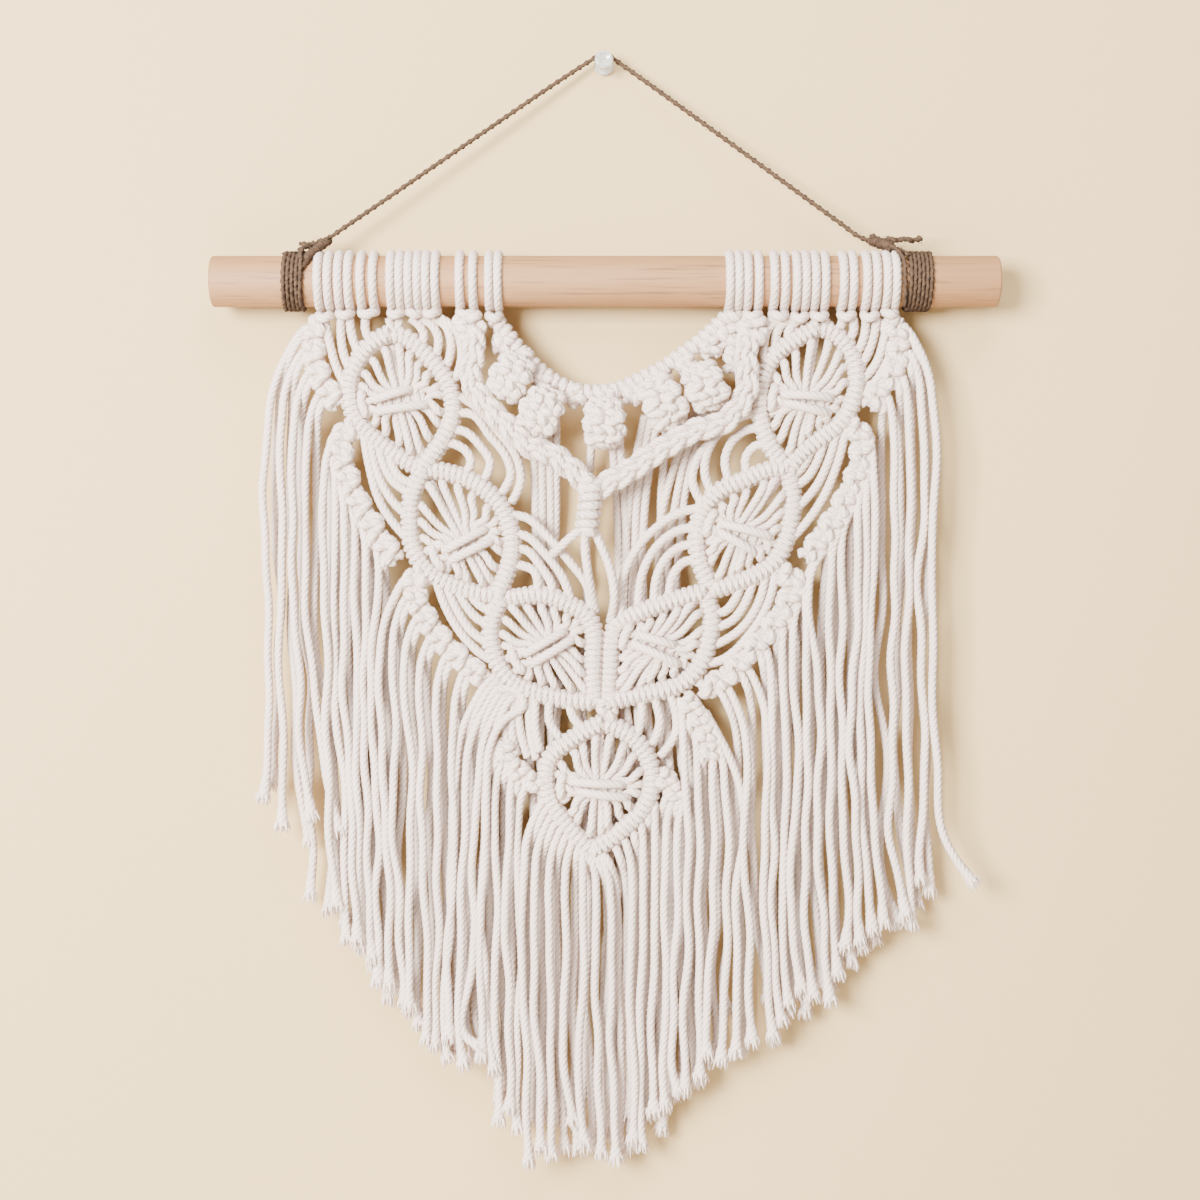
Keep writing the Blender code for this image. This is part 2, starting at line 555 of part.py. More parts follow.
def braid_yoke(finish):
    """The two plaits that meet under the berries, and the bundle bound below them."""
    pieces = head_pieces("braid_yoke")
    for line, rows in ((BRAID_LEFT, 19), (BRAID_RIGHT, 21)):
        top = line[0]
        knot = [at(top.x, top.z + 3.5), at(top.x, top.z - 1.5, (HANG_Y + FRONT_Y) / 2),
                at(top.x, top.z - 4, FRONT_Y)]
        pieces += [plait(line, rows), cord(knot, [CHAIN_BAR, SQUARE_KNOT, BRAID], 6)]
    bound = smooth([at(WRAP_START.x, WRAP_START.z, FRONT_Y), at(WRAP_TOP.x, WRAP_TOP.z, FRONT_Y),
                    at(WRAP_FOOT.x, WRAP_FOOT.z, FRONT_Y)], 9)
    pieces.append(ridged(bound, BUNDLE_RIDGE, BUNDLE_GROOVE, 7, end=BUNDLE_TOP, flat=CHAIN_FLAT))
    for x1, z1, x2, z2 in YOKE_TAILS:
        pieces.append(plain_cord([at(x1, z1, FRONT_Y), at((x1 + x2) / 2, (z1 + z2) / 2, FRONT_Y),
                                  at(x2, z2, FRONT_Y)], 3))
    return knot_together("braid_yoke", pieces, finish)


def collar(finish):
    """The curved bar with its rolled knots, and the cords that hang behind the rings."""
    pieces = head_pieces("collar")
    line = smooth([at(point.x, point.z) for point in COLLAR_LINE], 23)
    pieces.append(ridged(line, COLLAR_BAR, COLLAR_GROOVE, 5))
    for berry in BERRIES:
        centre = at(berry.x, berry.z, HANG_Y - 3 * KNOT_FORWARD)
        pieces.append(lump(centre, berry.width, BERRY_DEPTH, berry.height))
        nearest = min(line, key=lambda point: (point - centre).length)
        for shift in (-3, 3):
            pieces.append(plain_cord([nearest + Vector((shift, 0, 0)),
                                      centre + Vector((shift, 2, 4))], 2))
    for row in BACKS:
        root = at(row.x1, row.z1, HANG_Y + 2)
        pieces.append(cord([root, at(row.x1, row.z1 - 14, BACK_Y), at(row.x2, row.tip_z, BACK_Y)],
                           [CORD * 0.9, CORD, CORD], 3, start_turn=math.radians(-30)))
    return knot_together("collar", pieces, finish)


def dowel(finish):
    ends = [DOWEL_LEFT, DOWEL_LEFT + DOWEL_CHAMFER, DOWEL_RIGHT - DOWEL_CHAMFER, DOWEL_RIGHT]
    path = [at(x, DOWEL_Z) for x in ends]
    end_width = DOWEL_DIAMETER - DOWEL_CHAMFER
    widths = [end_width, DOWEL_DIAMETER, DOWEL_DIAMETER, end_width]
    return knot_together("dowel", [cord(path, widths, DOWEL_SIDES)], finish)


def push_pin(finish):
    outline = [(PIN_PROFILE[0].y, 0.0)] + [(row.y, row.radius) for row in PIN_PROFILE]
    outline.append((PIN_PROFILE[-1].y, 0.0))
    return knot_together("push_pin", [lathe_y(outline, Vector((0, 0, 0)), 16)], finish)


def hanger_twine(finish):
    """Two-ply twine from one end of the dowel, over the pin's neck, to the other end."""
    neck = PIN_PROFILE[3]
    top = neck.radius + GAP + TWINE / 2
    route = [TWINE_LEFT_END, at(-143.0, -93.2), at(-138.0, -90.8, HANG_Y + 0.5),
             at(-70.0, -43.0, -12.0), at(-8.0, 0.6, neck.y),
             at(-2.8, top - 0.7, neck.y), at(0, top - 0.1, neck.y), at(2.8, top - 0.7, neck.y),
             at(8.0, -0.2, neck.y), at(68.0, -44.0, -12.0), at(128.0, -90.2, HANG_Y + 0.5),
             TWINE_RIGHT_END]
    length = sum((b - a).length for a, b in zip(route, route[1:]))
    rows = int(length / TWINE_TWIST * TWIST_ROWS)
    plies = cord(smooth(route, rows), [TWINE] * rows, 4, [TWINE * 0.72] * rows,
                 turn_step=math.tau / TWIST_ROWS)
    return knot_together("hanger_twine", [plies], finish)


def twine_wrap_left(finish):
    start = Vector((WRAP_LEFT.x_last, HANG_Y - 8, DOWEL_Z + 13.8))
    rise = cord([start, at(-150.0, -96.5)], [TWINE] * 2, 4)
    return knot_together("twine_wrap_left", [sleeve(WRAP_LEFT), rise], finish)


def twine_wrap_right(finish):
    """The right binding with the knot beside it and the knot's cut tail."""
    link = plain_cord([at(151.0, -97.0), at(147.5, -93.0), KNOT_PLACE], 4, TWINE)
    tail = plain_cord([KNOT_PLACE, KNOT_PLACE.lerp(KNOT_TAIL, 0.5), KNOT_TAIL], 4, TWINE * 1.2)
    return knot_together("twine_wrap_right",
                         [sleeve(WRAP_RIGHT), link, lump(KNOT_PLACE, 7, 5, 5, 6, 4, 0.6), tail],
                         finish)


def main():
    for existing in list(bpy.data.objects):
        bpy.data.objects.remove(existing, do_unlink=True)
    cotton = material("cotton_cord", COTTON, 0.92)
    jute = material("jute_twine", JUTE, 0.95)
    dowel(material("pine", PINE, 0.6))
    push_pin(material("clear_plastic", CLEAR_PLASTIC, 0.1))
    hanger_twine(jute)
    twine_wrap_left(jute)
    twine_wrap_right(jute)
    net("net_left", cotton)
    net("net_right", cotton)
    braid_yoke(cotton)
    collar(cotton)
    pendant(cotton)
    for row in FRINGES:
        fringe(row, cotton)


main()
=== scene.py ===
"""Dresses the frame of a macrame wall hanging: twisted cotton cords, jute twine, dowel and pin.

Places on the face of the hanging are given on a knotting pattern: squares of half a millimetre,
counted across and down from the sheet's corner, with the push pin in square 604, 56. Other lengths
in tables are millimetres. A cord is laid as a spline and made a mesh with its plies twisted in.
"""

import math
import random
from collections import namedtuple

import bmesh
import bpy
import numpy as np
from bpy.props import FloatProperty, FloatVectorProperty, IntProperty, PointerProperty
from mathutils import Matrix, Vector


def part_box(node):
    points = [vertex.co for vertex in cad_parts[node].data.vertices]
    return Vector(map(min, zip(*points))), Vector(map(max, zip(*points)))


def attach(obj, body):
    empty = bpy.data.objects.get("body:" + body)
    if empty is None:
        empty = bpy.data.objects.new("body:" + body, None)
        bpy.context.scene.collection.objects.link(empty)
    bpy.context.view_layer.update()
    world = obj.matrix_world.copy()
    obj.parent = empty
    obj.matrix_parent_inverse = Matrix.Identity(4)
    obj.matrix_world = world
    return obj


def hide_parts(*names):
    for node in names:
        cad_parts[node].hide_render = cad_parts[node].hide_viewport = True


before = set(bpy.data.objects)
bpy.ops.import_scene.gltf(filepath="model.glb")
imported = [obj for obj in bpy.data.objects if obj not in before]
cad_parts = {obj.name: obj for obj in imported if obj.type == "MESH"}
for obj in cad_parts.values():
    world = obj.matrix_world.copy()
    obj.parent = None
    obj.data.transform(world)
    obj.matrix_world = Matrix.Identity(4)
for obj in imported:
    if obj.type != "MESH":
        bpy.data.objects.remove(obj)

bl_info = {
    "name": "Macrame Wall Hanging",
    "version": (1, 0, 0),
    "blender": (4, 5, 0),
    "location": "3D View > Sidebar > Hanging",
    "description": "Knots, fringe, twine, dowel and pin of a macrame wall hanging",
    "category": "Object",
}

MM = 0.001
MERGED = 1e-6                # points closer than this, in metres, are one
SQUARE = 0.5                 # one square of the pattern, in mm
PIN_SQUARE = (604, 56)
HANG_Y = -17.4               # plane of the knotting, on the dowel's axis
BACK_Y = -8.6                # cords that hang behind it
FRONT_Y = -26.0              # the plaited yoke, in front of it
DOWEL_Z = -112.6
DOWEL_RADIUS = 12.7
ROUTE_STEP = 1.5             # distance between the places that a cord's spline goes through
TWINE_STEP = 1.1             # the same on the twine
TIGHT_STEP = 1.3             # and on a cord that is pulled tight round others
FOLD_STEP = 1.2              # and on the fold of a lark's head
CURVE_STEPS = 24             # places that are worked out between two points of a curve
COIL_STEPS = 9               # places in one turn of a hitched cord

# half the thickness of a cord, and the length in which its plies turn once
Cord = namedtuple("Cord", "radius ply_turn")
COTTON = Cord(2.4, 12.5)
FALLING = Cord(2.25, 12.5)
SPOKE = Cord(2.0, 12.0)
HITCH = Cord(1.85, 12.0)
PLAITED = Cord(2.0, 11.5)
FILLER = Cord(2.5, 15.0)
ROLLED = Cord(2.25, 13.0)
BAR_CORE = Cord(3.9, 20.0)
COLLAR_CORE = Cord(3.4, 16.0)
COLLAR_HITCH = Cord(2.2, 14.0)
BUNDLE_CORE = Cord(4.0, 30.0)
CUT_FIBRE = Cord(0.66, 50.0)
JUTE = Cord(1.45, 9.0)
JUTE_HAIR = Cord(0.16, 50.0)

# the cotton's finish also paints shade into these furrows
YARNS = 4                    # furrows round a cotton cord
AROUND = 1                   # the axis of a cord's UV map that goes round it
# the outline of each kind of cord: its name, plies, and the radius at a crest and in a groove
SECTIONS = (("cotton_section", YARNS, 1.0, 0.955), ("jute_section", 2, 1.03, 0.72),
            ("fibre_section", 2, 1.0, 0.8))


# ---- the pattern ---------------------------------------------------------------------------------
# a leaf's tips, the places of its two bars between them, its centre, the two cords of the band that
# gathers its spokes, and the place of the small loop at the band's end
Leaf = namedtuple("Leaf", "node top foot left right centre bars loop")
LEAVES = (
    Leaf("net_left", (389, 334), (421, 469),
         ((370, 345), (357, 362), (350, 380), (350, 400), (354, 415), (365, 430), (385, 447),
          (405, 460)),
         ((403, 336), (421, 350), (436, 365), (448, 383), (453, 401), (452, 418), (445, 436),
          (433, 454)),
         (401, 399), (((376, 400), (410, 390)), ((378, 412), (426, 405))), (364, 404)),
    Leaf("net_left", (424, 469), (497, 596),
         ((411, 500), (410, 520), (411, 540), (420, 562), (440, 579), (462, 589), (480, 594)),
         ((445, 472), (465, 478), (483, 488), (498, 502), (508, 520), (512, 540), (511, 558),
          (505, 577)),
         (464, 541), (((446, 550), (484, 530)), ((452, 560), (491, 541))), (437, 558)),
    Leaf("net_left", (503, 597), (595, 702),
         ((492, 620), (491, 641), (497, 662), (507, 677), (527, 690), (548, 696), (570, 700)),
         ((512, 598), (534, 595), (555, 598), (572, 606), (587, 615), (594, 632), (594, 653),
          (593, 674)),
         (547, 645), (((526, 653), (563, 632)), ((533, 663), (572, 640))), (517, 661)),
    Leaf("net_right", (818, 327), (789, 469),
         ((795, 340), (778, 352), (766, 370), (761, 390), (760, 410), (764, 430), (773, 450)),
         ((835, 333), (848, 347), (856, 365), (857, 382), (853, 402), (842, 422), (825, 436),
          (805, 450)),
         (806, 400), (((784, 395), (830, 398)), ((787, 404), (826, 414))), (773, 398)),
    Leaf("net_right", (788, 469), (712, 590),
         ((770, 470), (745, 480), (721, 490), (704, 508), (698, 525), (697, 545), (700, 562),
          (706, 577)),
         ((793, 500), (791, 520), (786, 540), (778, 558), (762, 572), (742, 581)),
         (739, 534), (((722, 524), (769, 536)), ((720, 533), (754, 552))), (710, 523)),
    Leaf("net_right", (705, 592), (607, 702),
         ((685, 597), (660, 605), (635, 615), (616, 626), (611, 645), (610, 670)),
         ((712, 620), (709, 640), (703, 660), (692, 676), (675, 687), (650, 693), (625, 698)),
         (655, 649), (((640, 635), (674, 645)), ((634, 644), (677, 663))), (626, 636)),
    Leaf("pendant", (602, 723), (592, 850),
         ((568, 742), (550, 758), (546, 778), (550, 800), (563, 820), (578, 838)),
         ((622, 730), (645, 752), (652, 772), (651, 792), (643, 810), (627, 826), (607, 842)),
         (598, 787), (((572, 781), (622, 784)), ((579, 791), (626, 797))), (562, 785)))

# a lark's head: where its two cords go over the dowel
Head = namedtuple("Head", "node first second")
HEADS = (
    Head("net_left", 320.2, 330.1), Head("net_left", 340.4, 350.3),
    Head("net_left", 362.6, 374.9), Head("net_left", 392.1, 401.0),
    Head("net_left", 409.9, 418.7), Head("net_left", 427.1, 436.5),
    Head("braid_yoke", 460.6, 473.9), Head("collar", 489.7, 498.6),
    Head("collar", 729.1, 738.0), Head("braid_yoke", 746.9, 757.7),
    Head("net_right", 773.0, 783.8), Head("net_right", 795.2, 804.5),
    Head("net_right", 813.9, 823.7), Head("net_right", 841.5, 851.3),
    Head("net_right", 864.6, 874.5), Head("net_right", 884.8, 893.7))

# cords that join two knotted bars of a net; those under the heads come first
TIES = {
    "net_left": (
        ((325, 318), (329, 340), (336, 366), (349, 392)),
        ((341, 318), (341, 336), (344, 356), (354, 376)),
        ((350, 318), (351, 332), (358, 352)),
        ((366, 318), (365, 328), (371, 342)),
        ((389, 318), (391, 328), (391, 338)),
        ((399, 318), (398, 328), (394, 340)),
        ((410, 318), (420, 326), (424, 336), (420, 346)),
        ((420, 318), (431, 324), (438, 336), (436, 356)),
        ((431, 318), (445, 325), (451, 341), (447, 366)),
        ((440, 318), (456, 330), (462, 352), (455, 380)),
        ((363, 426), (369, 465), (380, 502), (401, 532), (414, 545)),
        ((370, 432), (374, 462), (384, 488), (401, 510), (411, 517)),
        ((378, 440), (383, 463), (392, 480), (409, 494), (415, 500)),
        ((388, 448), (392, 466), (400, 478), (414, 484)),
        ((436, 580), (447, 610), (464, 637), (484, 656), (500, 664)),
        ((446, 584), (457, 610), (472, 632), (491, 645)),
        ((457, 588), (467, 607), (479, 620), (494, 626)),
        ((468, 590), (476, 602), (486, 609), (498, 610)),
        ((452, 394), (470, 402), (497, 430), (517, 458), (521, 480), (511, 503)),
        ((450, 414), (472, 414), (490, 436), (506, 456), (511, 474), (501, 494)),
        ((446, 430), (464, 431), (481, 447), (490, 461), (484, 480)),
        ((440, 443), (455, 444), (467, 452), (471, 461), (465, 474)),
        ((508, 515), (525, 517), (548, 537), (570, 562), (588, 588), (590, 616)),
        ((508, 533), (526, 536), (546, 555), (564, 580), (571, 602)),
        ((508, 549), (526, 550), (541, 567), (552, 586), (550, 602)),
        ((505, 565), (520, 565), (534, 571), (538, 585), (532, 600)),
        ((534, 690), (535, 704), (535, 725), (540, 752)),
        ((549, 693), (549, 706), (549, 720), (560, 738)),
        ((566, 696), (570, 708), (573, 717), (585, 730))),
    "net_right": (
        ((900, 318), (897, 338), (888, 360), (872, 386), (858, 398)),
        ((888, 318), (884, 340), (876, 364), (858, 384)),
        ((877, 318), (873, 340), (866, 358), (856, 370)),
        ((866, 318), (864, 338), (858, 350), (850, 352)),
        ((853, 318), (854, 330), (848, 342)),
        ((843, 318), (841, 326), (834, 332)),
        ((826, 318), (824, 324), (818, 330)),
        ((816, 318), (812, 325), (804, 334)),
        ((806, 318), (793, 324), (788, 334), (790, 344)),
        ((797, 318), (782, 324), (776, 336), (776, 352)),
        ((786, 318), (770, 326), (764, 342), (766, 366)),
        ((776, 318), (760, 328), (751, 350), (753, 384), (760, 400)),
        ((848, 418), (838, 462), (822, 500), (800, 530), (789, 541)),
        ((838, 426), (829, 460), (816, 487), (797, 508), (790, 514)),
        ((825, 436), (818, 460), (807, 478), (793, 488)),
        ((812, 446), (806, 462), (798, 472), (790, 476)),
        ((776, 562), (770, 598), (750, 634), (722, 660), (708, 664)),
        ((766, 570), (759, 602), (742, 628), (716, 645)),
        ((754, 577), (746, 602), (733, 620), (712, 629)),
        ((742, 582), (735, 600), (724, 612), (711, 612)),
        ((760, 398), (744, 407), (720, 432), (700, 454), (692, 478), (703, 505)),
        ((761, 412), (738, 418), (718, 434), (706, 456), (705, 474), (712, 493)),
        ((764, 428), (746, 430), (731, 443), (725, 460), (730, 482)),
        ((769, 444), (755, 446), (746, 457), (748, 476)),
        ((703, 508), (684, 511), (656, 528), (634, 553), (622, 582), (622, 622)),
        ((699, 528), (682, 529), (660, 543), (645, 566), (638, 606)),
        ((698, 544), (682, 546), (666, 558), (657, 576), (654, 602)),
        ((700, 560), (684, 562), (674, 573), (669, 595)),
        ((640, 694), (642, 706), (641, 722), (636, 738)),
        ((653, 692), (657, 706), (660, 722), (652, 745)),
        ((668, 688), (674, 706), (677, 728), (660, 757))),
    "pendant": (
        ((506, 694), (503, 712), (505, 732), (508, 752)),
        ((512, 698), (512, 716), (512, 736), (517, 756)),
        ((519, 690), (518, 712), (521, 735), (528, 758)),
        ((529, 692), (529, 715), (531, 738), (536, 760)))}

# chains of square knots without cords of their own
Chain = namedtuple("Chain", "line knots")
CHAINS = (Chain(((505, 742), (508, 762), (524, 776), (544, 788)), 3),
          Chain(((659, 774), (667, 782), (680, 800)), 2),
          Chain(((683, 697), (694, 711), (703, 726), (707, 742), (710, 760)), 4),
          Chain(((607, 690), (606, 724)), 1))
# a cord that doubles back over the chain's top before it hangs
DOUBLED_BACK = ((497, 690), (511, 689), (522, 696), (523, 707), (510, 715), (498, 728), (490, 748),
                (486, 785), (484, 860), (482, 960), (480, 1056))

# the cords that hang from a chain, two from each knot, or from a bar: the line they come from, from
# its top to its foot; where they are across at a first height and every eighty squares below it;
# and their cut ends
Fringe = namedtuple("Fringe", "node side roots first_down falls tips")
FALL_STEP = 80
FRINGES = (
    Fringe("fringe_left_1", -1,
           ((320, 319), (315, 334), (314, 352), (318, 372), (327, 389), (338, 405)), 600,
           ((268, 269, 268), (276, 276, 274), (282, 281, 283), (290, 294, 294),
            (295, 302, 303), (300, 309, 309), (307, 313, 324), (315, 318, 330)),
           ((265, 797), (274, 785), (281, 826), (307, 842), (311, 815), (307, 898), (337, 831),
            (330, 912))),
    Fringe("fringe_left_2", -1,
           ((357, 424), (343, 438), (342, 456), (347, 476), (356, 497), (369, 520), (382, 541),
            (397, 560)), 600,
           ((325, 329, 328, 330), (329, 333, 333, 334), (335, 337, 340, 343),
            (339, 341, 345, 348), (345, 345, 350, 352), (349, 350, 355, 356),
            (355, 355, 358, 360), (360, 359, 361, 363), (366, 363, 366, 368),
            (370, 367, 370, 372), (379, 370, 374, 377), (385, 375, 379, 381)),
           ((338, 905), (345, 925), (348, 939), (353, 921), (358, 940), (362, 933), (360, 948),
            (366, 950), (372, 958), (376, 970), (379, 982), (383, 1002))),
    Fringe("fringe_left_3", -1,
           ((426, 570), (414, 584), (417, 601), (426, 618), (437, 634), (451, 650), (467, 664),
            (485, 680)), 680,
           ((380, 384, 386, 390), (384, 390, 390, 395), (393, 396, 395, 400),
            (399, 402, 399, 404), (405, 411, 410, 411), (410, 414, 415, 417),
            (420, 425, 421, 425), (426, 431, 430, 431), (436, 437, 437, 438),
            (441, 443, 444, 445), (455, 453, 452, 450), (461, 460, 461, 461)),
           ((390, 985), (397, 994), (401, 1003), (407, 1014), (412, 1006), (420, 1028),
            (428, 1039), (433, 1040), (436, 1046), (444, 1054), (450, 1037), (460, 1050))),
    Fringe("fringe_right_1", 1,
           ((888, 319), (897, 333), (898, 351), (894, 370), (881, 386), (869, 406)), 600,
           ((932, 929, 935, 946), (926, 925, 928, 928), (921, 922, 923, 921),
            (914, 912, 910, 912), (908, 907, 906, 907), (902, 901, 896, 903),
            (893, 890, 892, 893), (884, 880, 887, 883)),
           ((975, 881), (930, 893), (925, 880), (921, 907), (912, 925), (915, 905), (905, 915),
            (900, 925))),
    Fringe("fringe_right_2", 1,
           ((847, 423), (861, 438), (861, 456), (856, 476), (846, 497), (834, 520), (820, 540),
            (805, 558)), 600,
           ((873, 868, 872, 873), (869, 864, 867, 868), (866, 860, 863, 862),
            (862, 857, 859, 859), (857, 853, 853, 854), (852, 850, 849, 849),
            (841, 842, 844, 843), (837, 838, 838, 835), (831, 829, 831, 831),
            (826, 824, 826, 821), (808, 818, 820, 817), (803, 812, 814, 813)),
           ((884, 923), (879, 943), (872, 930), (865, 951), (858, 940), (852, 965), (846, 947),
            (840, 962), (836, 975), (833, 990), (830, 1000), (823, 989))),
    Fringe("fringe_right_3", 1,
           ((779, 569), (793, 584), (788, 601), (777, 619), (764, 636), (749, 652), (730, 673),
            (714, 684), (699, 689)), 680,
           ((806, 808, 803, 806), (799, 801, 798, 801), (793, 797, 794, 791),
            (787, 791, 790, 786), (782, 787, 784, 780), (777, 779, 778, 775),
            (771, 772, 773, 771), (766, 767, 766, 766), (766, 767, 764, 763),
            (754, 752, 755, 757), (750, 746, 745, 748), (746, 739, 737, 740)),
           ((815, 996), (808, 1016), (801, 988), (795, 999), (790, 1004), (788, 1013),
            (780, 1020), (776, 1042), (774, 1035), (770, 1000), (749, 1040), (744, 1053))),
    Fringe("pendant", -1, ((493, 676), (503, 688), (518, 699)), 800,
           ((454, 452, 448, 445), (459, 458, 456, 455), (465, 463, 462, 461),
            (471, 469, 468, 466), (478, 474, 474, 472), (485, 480, 479, 478)),
           ((448, 1058), (456, 1052), (466, 1062), (472, 1057), (479, 1044), (486, 1054))),
    Fringe("pendant", -1, ((503, 738), (508, 762), (534, 784)), 840,
           ((485, 484, 486), (490, 489, 491), (495, 496, 497), (503, 502, 502),
            (510, 506, 507), (514, 511, 512), (518, 519, 518)),
           ((494, 1068), (498, 1100), (498, 1121), (503, 1095), (510, 1108), (515, 1115),
            (519, 1128))),
    Fringe("pendant", -1, ((546, 796), (560, 822), (586, 848)), 920,
           ((524, 524, 526), (528, 530, 533), (535, 536, 538), (541, 541, 545),
            (549, 549, 552), (556, 557, 560), (565, 565, 568), (575, 573, 575)),
           ((527, 1160), (534, 1123), (539, 1148), (547, 1106), (554, 1155), (566, 1152),
            (571, 1120), (577, 1152))),
    Fringe("pendant", -1, ((584, 846), (592, 853), (606, 846)), 920,
           ((583, 582, 581), (589, 588, 588), (596, 596, 597), (607, 607, 608),
            (611, 611, 613), (617, 618, 619)),
           ((583, 1141), (590, 1150), (601, 1153), (607, 1130), (614, 1159), (622, 1150))),
    Fringe("pendant", 1, ((654, 798), (640, 820), (606, 848)), 920,
           ((655, 652, 653), (649, 646, 647), (643, 640, 642), (638, 636, 637),
            (632, 631, 632), (626, 625, 626)),
           ((653, 1112), (648, 1120), (642, 1146), (640, 1115), (634, 1140), (628, 1154))),
    Fringe("pendant", 1, ((688, 790), (676, 796), (662, 790)), 920,
           ((677, 675, 677), (671, 668, 671), (666, 663, 664), (661, 659, 658)),
           ((680, 1090), (672, 1096), (665, 1105), (658, 1101))),
    Fringe("pendant", 1, ((686, 698), (700, 712), (709, 732), (712, 756)), 760,
           ((739, 743, 738, 735), (730, 737, 732, 728), (722, 730, 726, 722),
            (716, 721, 719, 715), (712, 714, 712, 708)),
           ((734, 1052), (730, 1012), (721, 1061), (717, 1050), (710, 1054))),
    Fringe("pendant", -1, ((680, 698), (688, 712), (697, 730), (704, 756)), 760,
           ((683, 688, 686, 685), (690, 694, 691, 691), (697, 700, 698, 697),
            (703, 707, 703, 702)),
           ((685, 1089), (696, 1086), (703, 1077), (706, 1066))))

COLLAR = ((494, 319), (505, 332), (517, 348), (536, 368), (555, 382), (575, 391), (597, 392.5),
          (619, 389.5), (642, 379), (659, 371), (681, 356), (703, 340), (721, 323), (733, 312))
Berry = namedtuple("Berry", "place width height tilt")
BERRIES = (Berry((511, 378), 47, 48, 28), Berry((542, 412), 47, 52, 22),
           Berry((604.5, 424), 47, 50, 0), Berry((662, 404), 48, 56, -26),
           Berry((704, 388), 49, 50, -24))
# single knots that fill the collar between the berries
FILLERS = (((506, 336), (500, 352)), ((524, 350), (519, 366)), ((545, 374), (540, 390)),
           ((571, 388), (578, 404)), ((606, 390), (606, 402)), ((634, 386), (631, 402)),
           ((654, 373), (657, 388)), ((683, 357), (688, 371)), ((708, 338), (712, 356)),
           ((728, 323), (727, 347)), ((738, 346), (732, 372)))
PLAITS = (((468, 322), (475, 348), (472, 382), (487, 406), (509, 428), (531, 448), (553, 455.5),
           (567, 466), (582, 480), (590, 492)),
          ((750, 330), (745, 352), (745, 394), (723, 423), (693, 432), (671, 444), (649, 458),
           (627, 473), (604, 486), (594, 493)))
YOKE_KNOTS = (((468, 314), (471, 340)), ((752, 318), (751, 344)))
BUNDLE = ((593, 480), (591, 495), (589, 515), (586, 533))
YOKE_TAILS = (((584, 528), (573, 536), (563, 545), (550, 556)),
              ((586, 530), (585, 545), (588, 572), (596, 612)),
              ((594, 530), (602, 548), (609, 566), (614, 590), (610, 622)))
# cords behind the rings: where they leave the berries, where they hang, and their cut ends
BACKS = (((533, 400), (534, 470), (532, 1100)), ((541, 410), (542, 480), (541, 1120)),
         ((549, 415), (550, 480), (548, 1110)), ((556, 412), (556, 480), (556, 1126)),
         ((592, 436), (589, 480), (580, 1130)), ((612, 436), (616, 490), (604, 1136)),
         ((619, 434), (624, 490), (615, 1140)), ((645, 415), (632, 480), (628, 1120)),
         ((651, 418), (640, 480), (640, 1128)), ((658, 416), (648, 480), (652, 1118)),
         ((668, 410), (663, 480), (662, 1134)), ((700, 400), (672, 475), (672, 1100)),
         ((706, 400), (681, 475), (684, 1090)), ((712, 398), (689, 475), (696, 1080)))

# the hanger, from the left binding over the pin to the right one: across, depth, height
TWINE_ROUTE = ((-152.5, HANG_Y, -93.6), (-143, HANG_Y, -93.2), (-138, HANG_Y + 0.5, -90.8),
               (-130, -16, -85.2), (-70, -12, -43.1), (-16, -7, -5.2), (-8, -6, 0.2),
               (-2.8, -6, 3.2), (0, -6, 3.8), (2.8, -6, 3.2), (8, -6, -0.3), (16, -7, -6.2),
               (68, -12, -45.2), (120, -16, -84.2), (128, HANG_Y + 0.5, -90.2),
               (136.7, HANG_Y, -93.0))
# the bindings: from where to where across, the turns, the loose strands, and the routes that a
# strand is coiled round, with the coil's radius, its pitch and the angles at which it starts;
# depths are counted from the dowel's axis
Binding = namedtuple("Binding", "name node first last turns strands coils")
THREE_STARTS = (0.0, 2.1, 4.2)
RIGHT_TAIL = ((137.0, -1, -93.0), (144.0, -2.5, -92.0), (151.0, -2.5, -92.2), (159.0, -1, -91.8))
BINDINGS = (
    Binding("binding_left", "twine_wrap_left", -160.2, -149.6, 5,
            (((-149.8, -13, -106), (-150.0, -11, -100), (-148.6, -6, -96.4), (-146.0, -3, -94.8)),
             ((-149.8, -13.4, -103), (-150.0, -14.1, -112), (-150.6, -12, -121),
              (-150.8, -6, -126))),
            ((((-149.4, -12.0, -107), (-147.0, -9.5, -102), (-142.5, -5.5, -97),
               (-137.5, -1.5, -92)), 1.5, 4.6, THREE_STARTS),
             (((-152.2, -4.5, -96.8), (-146.0, -4, -95.2), (-140.5, -2, -92.6)),
              1.1, 4.6, (0.0,)))),
    Binding("binding_right", "twine_wrap_right", 150.4, 162.4, 6,
            (((150.6, -10, -101), (149.0, -6, -98.5), (145.0, -2, -96.0), (139.0, -2.0, -94.0)),
             ((140.0, -3.0, -93.4), (145.5, -8.0, -98.0), (148.4, -13.0, -104.5),
              (148.6, -14.1, -112), (149.0, -12, -121), (149.4, -6, -126)),
             RIGHT_TAIL),
            ((((133.0, -0.4, -91.0), (136.5, -1.2, -93.2), (140.5, -2.2, -94.6),
               (143.6, -3.6, -96.4)), 2.0, 4.2, THREE_STARTS),
             (RIGHT_TAIL, 0.9, 7.0, (0.0,)))))
BINDING_STEPS = 24           # places in one turn round the dowel
HANGER_HAIRS, BINDING_HAIRS = 70, 60
HAIR_LENGTH = 6.0
HAIR_WIDTHS = (1.2, 1.0, 0.7, 0.3)
NEAR_WALL = -4               # depth past which a hair leans away from the wall

DOWEL_SIDES = 72
EASED_EDGE = 1.1
SHARP_EDGE = math.radians(35)
PIN_SIDES = 48
